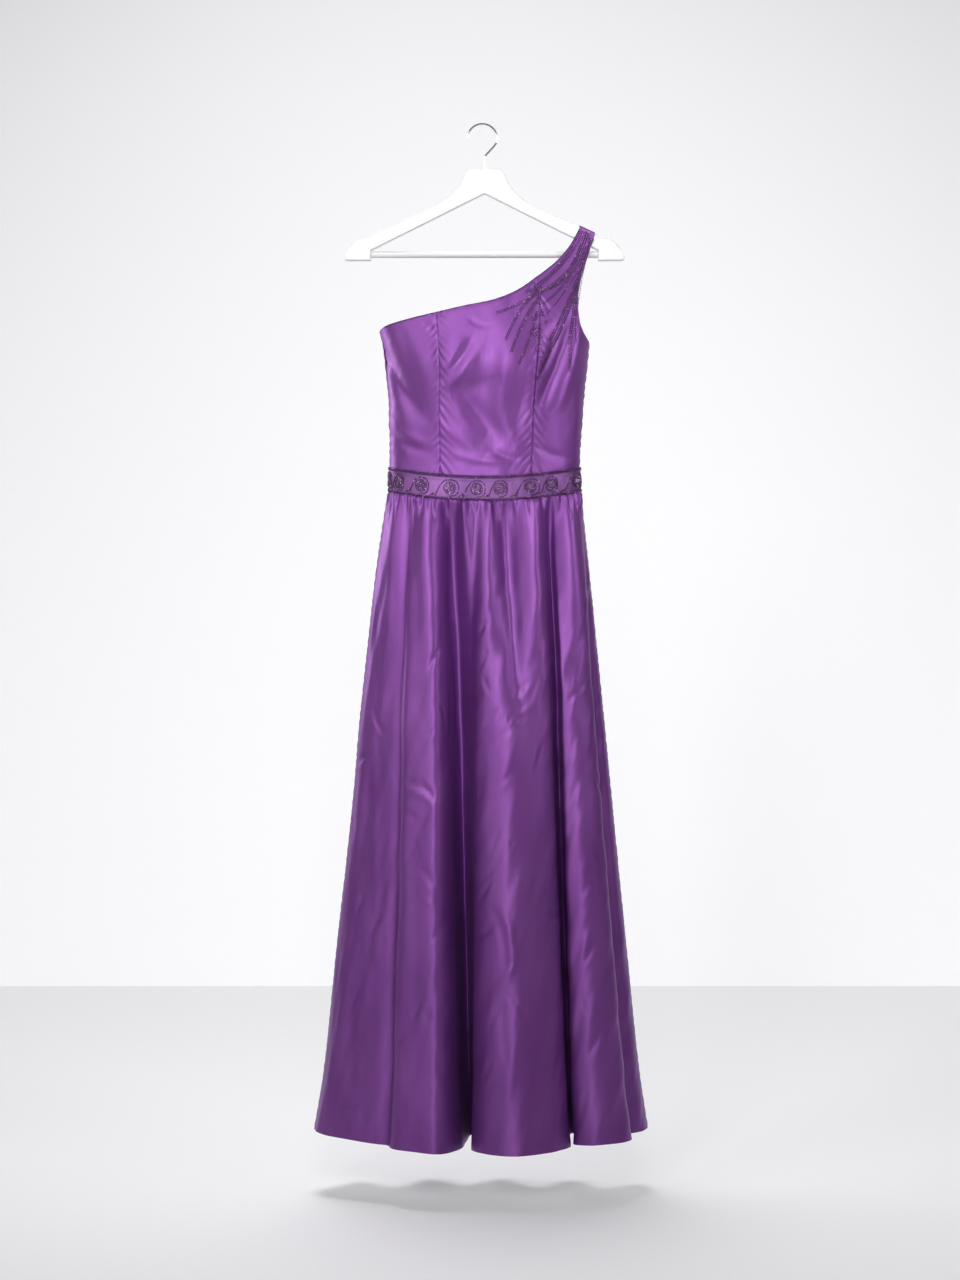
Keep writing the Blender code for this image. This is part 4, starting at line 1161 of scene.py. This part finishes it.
def band_travel(side):
    """Shares of the way round the band's middle, and how far each is from its left seam."""
    dense = np.linspace(0.0, 1.0, 800)
    line, _ = band_surface(side, dense, 0.5 + 0.0 * dense)
    return dense, lengths_along(line, 0)


def band_spots(side, along, up):
    """Points, outward and thread directions on the band, from metres along and up it."""
    dense, travel = band_travel(side)
    share = np.interp(along, travel, dense)
    row = 0.5 - up / BAND_HEIGHT
    points, normals = band_surface(side, share, row)
    ahead, _ = band_surface(side, share + 1e-3, row)
    return points + normals * band_swell(row)[:, None], normals, unit(ahead - points)


def band_beading(name, side, materials):
    """Two bead cords, a running vine and a rosette in each of its curls."""
    beads = Beads(SEED + 80 + side)
    dense, travel = band_travel(side)
    length = travel[-1]
    top, foot = BAND_HEIGHT / 2.0, -BAND_HEIGHT / 2.0

    def add(line, radius=BEAD_RADIUS, bright=BRIGHT_ON_BAND, pitch=BEAD_PITCH):
        spots, _ = stepped(line, pitch)
        inside = (spots[:, 0] > 0.0) & (spots[:, 0] < length)
        spots = spots[inside]
        if len(spots):
            beads.add(*band_spots(side, spots[:, 0], spots[:, 1]), radius, bright)

    along = np.linspace(0.0, length, 2400)
    for phase in (0.0, math.pi):
        braid = BRAID_RISE * np.sin(math.tau * along / BRAID_WAVE + phase)
        add(np.stack((along, top + BRAID_ABOVE + braid), -1))
    waver = LOWER_CORD_RISE * np.sin(math.tau * along / LOWER_CORD_WAVE)
    add(np.stack((along, foot + LOWER_CORD_UP + waver), -1))
    sparse = np.stack((along, foot + SPARSE_CORD_UP - waver), -1)
    add(sparse, 0.8 * BEAD_RADIUS, BRIGHT_ACCENTS, SPARSE_PITCH)
    middles = np.interp(ROSETTES_FRONT if side < 0 else ROSETTES_BACK, dense, travel)
    periods = np.diff(middles, prepend=middles[0] - VINE_PERIOD)
    for centre, period in zip(middles, periods):
        middle = np.array((centre, -ROSETTE_BELOW))
        turn = np.linspace(0.0, math.tau, 80)
        circle = np.stack((np.cos(turn), np.sin(turn)), -1)
        for share, bright in ROSETTE_RINGS:
            add(middle + circle * share * ROSETTE_RADIUS, bright=bright, pitch=ROSETTE_PITCH)
        vine = np.array(VINE) * MM * np.array((period / VINE_PERIOD, 1.0))
        fine = np.linspace(0.0, len(vine) - 1.0, 120)
        smooth = [even_curve(np.arange(len(vine)), vine[:, axis], fine) for axis in (0, 1)]
        add(middle + np.stack(smooth, -1), 1.15 * BEAD_RADIUS)
        root = middle + np.array((-0.5 * period, -SPRAY_BELOW))
        for slant in np.radians(SPRAY_SLANTS):
            stem = np.linspace(0.0, SPRAY_LENGTH, 20)[:, None] * (np.cos(slant), np.sin(slant))
            add(root + stem, 0.85 * BEAD_RADIUS, BRIGHT_ACCENTS)
    return beads.piece(name, materials, "beaded_band")


# Materials

def new_material(name):
    """An empty Principled material: the material, its node tree and its shader."""
    material = bpy.data.materials.new(name)
    material.use_nodes = True
    return material, material.node_tree, material.node_tree.nodes["Principled BSDF"]


def node(tree, kind, links=(), **values):
    """A node with its settings, named inputs and links: (socket out, input name)."""
    made = tree.nodes.new(kind)
    for key, value in values.items():
        if hasattr(made, key):
            setattr(made, key, value)
        else:
            made.inputs[key.replace("_", " ")].default_value = value
    for socket, name in links:
        tree.links.new(socket, made.inputs[name])
    return made


def feed(tree, shader, **values):
    """Give a shader's inputs their constant values, or the sockets that drive them."""
    for key, value in values.items():
        target = shader.inputs[key.replace("_", " ")]
        if isinstance(value, bpy.types.NodeSocket):
            tree.links.new(value, target)
        else:
            target.default_value = (*value, 1.0) if isinstance(value, tuple) else value


def stretched(tree, place, scale, turn=0.0):
    """A texture place that is turned by some degrees and stretched."""
    made = node(tree, "ShaderNodeMapping", [(place, "Vector")], Scale=scale)
    made.inputs["Rotation"].default_value = (0.0, 0.0, math.radians(turn))
    return made.outputs["Vector"]


def noise(tree, place, scale, detail, distortion=0.0):
    """Noise between 0 and 1."""
    made = node(
        tree, "ShaderNodeTexNoise", [(place, "Vector")],
        Scale=scale, Detail=detail, Distortion=distortion,
    )
    return made.outputs["Fac"]


def ranged(tree, value, start=0.0, end=1.0, low=0.0, high=1.0):
    """A value's way from start to end, spread from low to high."""
    made = node(
        tree, "ShaderNodeMapRange", [(value, "Value")],
        From_Min=start, From_Max=end, To_Min=low, To_Max=high,
    )
    return made.outputs["Result"]


def worked(tree, operation, first, second=None):
    """The result of a sum on one value, or on two values, sockets or numbers."""
    made = node(tree, "ShaderNodeMath", [(first, 0)], operation=operation)
    if isinstance(second, float):
        made.inputs[1].default_value = second
    elif second is not None:
        tree.links.new(second, made.inputs[1])
    return made.outputs[0]


def mixed_colour(tree, share, low, high):
    """A colour between two others."""
    made = node(tree, "ShaderNodeMix", [(share, "Factor")], data_type="RGBA")
    made.inputs[6].default_value = (*low, 1.0)
    made.inputs[7].default_value = (*high, 1.0)
    return made.outputs[2]


def bumped(tree, height, strength, distance, under=None):
    """Fine relief from a height, on top of another relief."""
    links = [(height, "Height")] + ([(under, "Normal")] if under else [])
    made = node(tree, "ShaderNodeBump", links, Strength=strength, Distance=distance)
    return made.outputs["Normal"]


def on_object(tree):
    """Texture place in the object's own metres."""
    return node(tree, "ShaderNodeTexCoord").outputs["Object"]


def wrinkles(tree, place):
    """Thin slanting wrinkles, in some patches of the cloth only."""
    slanted = stretched(tree, place, (1.0, 0.30, 1.0), -38.0)
    apart = worked(tree, "SUBTRACT", noise(tree, slanted, 46.0, 1.0, 0.9), 0.5)
    line = ranged(tree, worked(tree, "ABSOLUTE", apart), end=0.07)
    patch = ranged(tree, noise(tree, place, 13.0, 1.0), 0.52, 0.68)
    return worked(tree, "MULTIPLY", line, patch)


def satin(name, base, deep):
    """Satin: long warp floats that run down the cloth, so its gloss spreads across them."""
    material, tree, shader = new_material(name)
    place = node(tree, "ShaderNodeUVMap", uv_map="cloth").outputs["UV"]
    soft = stretched(tree, place, (1.0, 0.45, 1.0))
    slubs = noise(tree, soft, 110.0, 3.0)
    clouds = ranged(tree, noise(tree, soft, 16.0, 2.0), 0.30, 0.70)
    streaks = noise(tree, stretched(tree, place, (95.0, 11.0, 1.0)), 1.0, 3.0)
    floats = noise(tree, stretched(tree, place, (3300.0, 260.0, 1.0)), 1.0, 2.0)
    normal = bumped(tree, streaks, 0.18, 0.8 * MM)
    normal = bumped(tree, wrinkles(tree, place), 0.14, 0.9 * MM, normal)
    normal = bumped(tree, slubs, 0.30, 0.5 * MM, normal)
    normal = bumped(tree, floats, 0.25, 0.12 * MM, normal)
    tangent = node(tree, "ShaderNodeTangent", direction_type="UV_MAP", uv_map="cloth")
    feed(
        tree, shader, Base_Color=mixed_colour(tree, clouds, deep, base),
        Roughness=ranged(tree, slubs, low=0.44, high=0.58),
        Normal=normal, Tangent=tangent.outputs["Tangent"],
        Metallic=0.68, Anisotropic=0.60, Anisotropic_Rotation=0.25,
        Coat_Weight=0.06, Coat_Roughness=0.40,
        Sheen_Weight=0.02, Sheen_Roughness=0.35, Sheen_Tint=(0.78, 0.60, 0.95),
    )
    return material


def bead_material(name, colour, metallic, roughness):
    """Small glass beads with a metal lining."""
    material, tree, shader = new_material(name)
    shade = noise(tree, on_object(tree), 700.0, 1.0)
    low, high = ([min(part * share, 1.0) for part in colour] for share in (0.35, 1.5))
    feed(
        tree, shader, Base_Color=mixed_colour(tree, shade, low, high),
        Metallic=metallic, Roughness=roughness, Coat_Weight=0.6, Coat_Roughness=0.08,
    )
    return material


def lacquer():
    """White lacquer over wood: a faint grain and slightly uneven gloss."""
    material, tree, shader = new_material("white_lacquer")
    grain = noise(tree, stretched(tree, on_object(tree), (9.0, 60.0, 160.0)), 2.0, 5.0)
    feed(
        tree, shader,
        Base_Color=mixed_colour(tree, grain, (0.60, 0.60, 0.61), (0.65, 0.65, 0.655)),
        Roughness=ranged(tree, grain, low=0.28, high=0.42),
        Normal=bumped(tree, grain, 0.15, 0.4 * MM), Coat_Weight=0.3,
    )
    return material


def steel():
    """Bright drawn wire with fine scratches round it."""
    material, tree, shader = new_material("bright_steel")
    marks = noise(tree, on_object(tree), 900.0, 3.0)
    feed(
        tree, shader, Roughness=ranged(tree, marks, low=0.14, high=0.34),
        Base_Color=(0.60, 0.60, 0.62), Metallic=1.0,
    )
    return material


def dress_cad_node(name, material):
    """Give a carried-over CAD node its material."""
    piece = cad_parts[name]
    piece.data.materials.clear()
    piece.data.materials.append(material)


# Studio

IMAGE_LONG_SIDE = 1280
FOCAL_PIXELS = 2541.0
SENSOR_WIDTH = 36.0
CAMERA_PLACE = (-0.0036, -4.0, -0.811)
FLOOR_HEIGHT = -1.685
WALL_DEPTH = 2.42
WALL_TOP = 4.0
ROOM_HALF_WIDTH = 9.0
ROOM_NEAR = -9.0
# name, place, the point that it faces, width, height, power, spread in degrees
LIGHTS = (
    ("key", (-1.80, -1.80, 0.40), (0.0, 0.0, -0.38), 1.50, 1.40, 3.7, 58.0),
    ("crest", (-0.85, -3.00, 0.55), (0.0, 0.0, -0.42), 0.60, 1.20, 5.4, 68.0),
    ("front", (0.00, -3.60, 0.60), (0.0, 0.0, -0.42), 0.60, 1.20, 7.8, 68.0),
    ("side", (-2.10, 0.90, -0.10), (-0.05, 0.0, -0.40), 0.80, 1.00, 1.3, 35.0),
    ("fill", (2.00, -1.60, 0.30), (0.05, 0.0, -0.33), 0.90, 0.80, 1.7, 36.0),
    ("top", (-0.35, 0.50, 2.30), (0.0, 0.3, -1.60), 1.40, 1.20, 40.0, 130.0),
)


def mixed_shaders(tree, share, first, second, output):
    """Show a second shader instead of the first where the share says so."""
    mixed = node(tree, "ShaderNodeMixShader", [(share, 0)])
    tree.links.new(first.outputs[0], mixed.inputs[1])
    tree.links.new(second.outputs[0], mixed.inputs[2])
    tree.links.new(mixed.outputs[0], output.inputs["Surface"])


def pale_surface(name, colour, glow):
    """Matt white paint in large soft patches, which the camera looks through from behind."""
    material, tree, shader = new_material(name)
    patches = noise(tree, on_object(tree), 0.8, 2.0)
    darker = tuple(part * 0.98 for part in colour)
    feed(
        tree, shader, Base_Color=mixed_colour(tree, patches, darker, colour), Roughness=0.7,
        Emission_Color=colour, Emission_Strength=glow,
    )
    behind = node(tree, "ShaderNodeNewGeometry").outputs["Backfacing"]
    clear = node(tree, "ShaderNodeBsdfTransparent")
    mixed_shaders(tree, behind, shader, clear, tree.nodes["Material Output"])
    return material


def plane(name, corners, material):
    """A flat four-cornered surface of the studio."""
    mesh = bpy.data.meshes.new(name)
    mesh.from_pydata(corners, [], [(0, 1, 2, 3)])
    mesh.materials.append(material)
    piece = bpy.data.objects.new(name, mesh)
    bpy.context.scene.collection.objects.link(piece)


def area_light(name, place, target, width, height, power, spread):
    """A soft box that faces a point, with a grid that narrows its spread to some degrees."""
    data = bpy.data.lights.new(name, "AREA")
    data.shape = "RECTANGLE"
    data.size, data.size_y = width, height
    data.energy = power
    data.spread = math.radians(spread)
    lamp = bpy.data.objects.new(name, data)
    lamp.location = place
    direction = Vector(target) - Vector(place)
    lamp.rotation_euler = direction.to_track_quat("-Z", "Y").to_euler()
    bpy.context.scene.collection.objects.link(lamp)


def air(scene):
    """Faint light from all sides, and a pale background where the room ends."""
    scene.world = bpy.data.worlds.new("studio_air")
    scene.world.use_nodes = True
    tree = scene.world.node_tree
    faint = tree.nodes["Background"]
    feed(tree, faint, Color=(0.95, 0.95, 1.0), Strength=0.06)
    seen = node(tree, "ShaderNodeBackground", Color=(0.86, 0.86, 0.87, 1.0))
    rays = node(tree, "ShaderNodeLightPath").outputs["Is Camera Ray"]
    mixed_shaders(tree, rays, faint, seen, tree.nodes["World Output"])


def studio():
    """Pale floor and wall, soft light from the left front, and the photo's camera."""
    scene = bpy.context.scene
    wide, near, low, deep = ROOM_HALF_WIDTH, ROOM_NEAR, FLOOR_HEIGHT, WALL_DEPTH
    floor = [(-wide, near, low), (wide, near, low), (wide, deep, low), (-wide, deep, low)]
    wall = [(-wide, deep, low), (wide, deep, low), (wide, deep, WALL_TOP), (-wide, deep, WALL_TOP)]
    plane("floor", floor, pale_surface("floor_paint", (0.72, 0.72, 0.73), 0.25))
    plane("backdrop", wall, pale_surface("wall_paint", (0.80, 0.80, 0.81), 0.46))
    air(scene)
    for light in LIGHTS:
        area_light(*light)

    data = bpy.data.cameras.new("camera")
    data.sensor_width = SENSOR_WIDTH
    data.lens = FOCAL_PIXELS * SENSOR_WIDTH / IMAGE_LONG_SIDE
    data.clip_start, data.clip_end = 0.05, 60.0
    camera = bpy.data.objects.new("camera", data)
    camera.location = CAMERA_PLACE
    camera.rotation_euler = (math.radians(90.0), 0.0, 0.0)
    scene.collection.objects.link(camera)
    scene.camera = camera
    scene.view_settings.view_transform = "Standard"


# The dress

purple = satin("purple_satin", (0.222, 0.068, 0.304), (0.182, 0.050, 0.262))
band_satin = satin("beaded_band", (0.270, 0.110, 0.340), (0.120, 0.042, 0.175))
bead_materials = (
    bead_material("dark_bead", (0.085, 0.022, 0.115), 0.55, 0.22),
    bead_material("bright_bead", (0.55, 0.38, 0.55), 0.90, 0.18),
)
white = lacquer()

for panel in PANELS:
    bodice_panel(panel, purple)
band("waistband_front", -1, band_satin)
band("waistband_back", 1, band_satin)
skirt_shape = Skirt()
skirt_panel(skirt_shape, "skirt_front", -1, purple)
skirt_panel(skirt_shape, "skirt_back", 1, purple)
strap_beading(bead_materials)
band_beading("band_beading_front", -1, bead_materials)
band_beading("band_beading_back", 1, bead_materials)
dress_cad_node("hanger_body", white)
dress_cad_node("hanger_bar", white)
dress_cad_node("hanger_hook", steel())
studio()
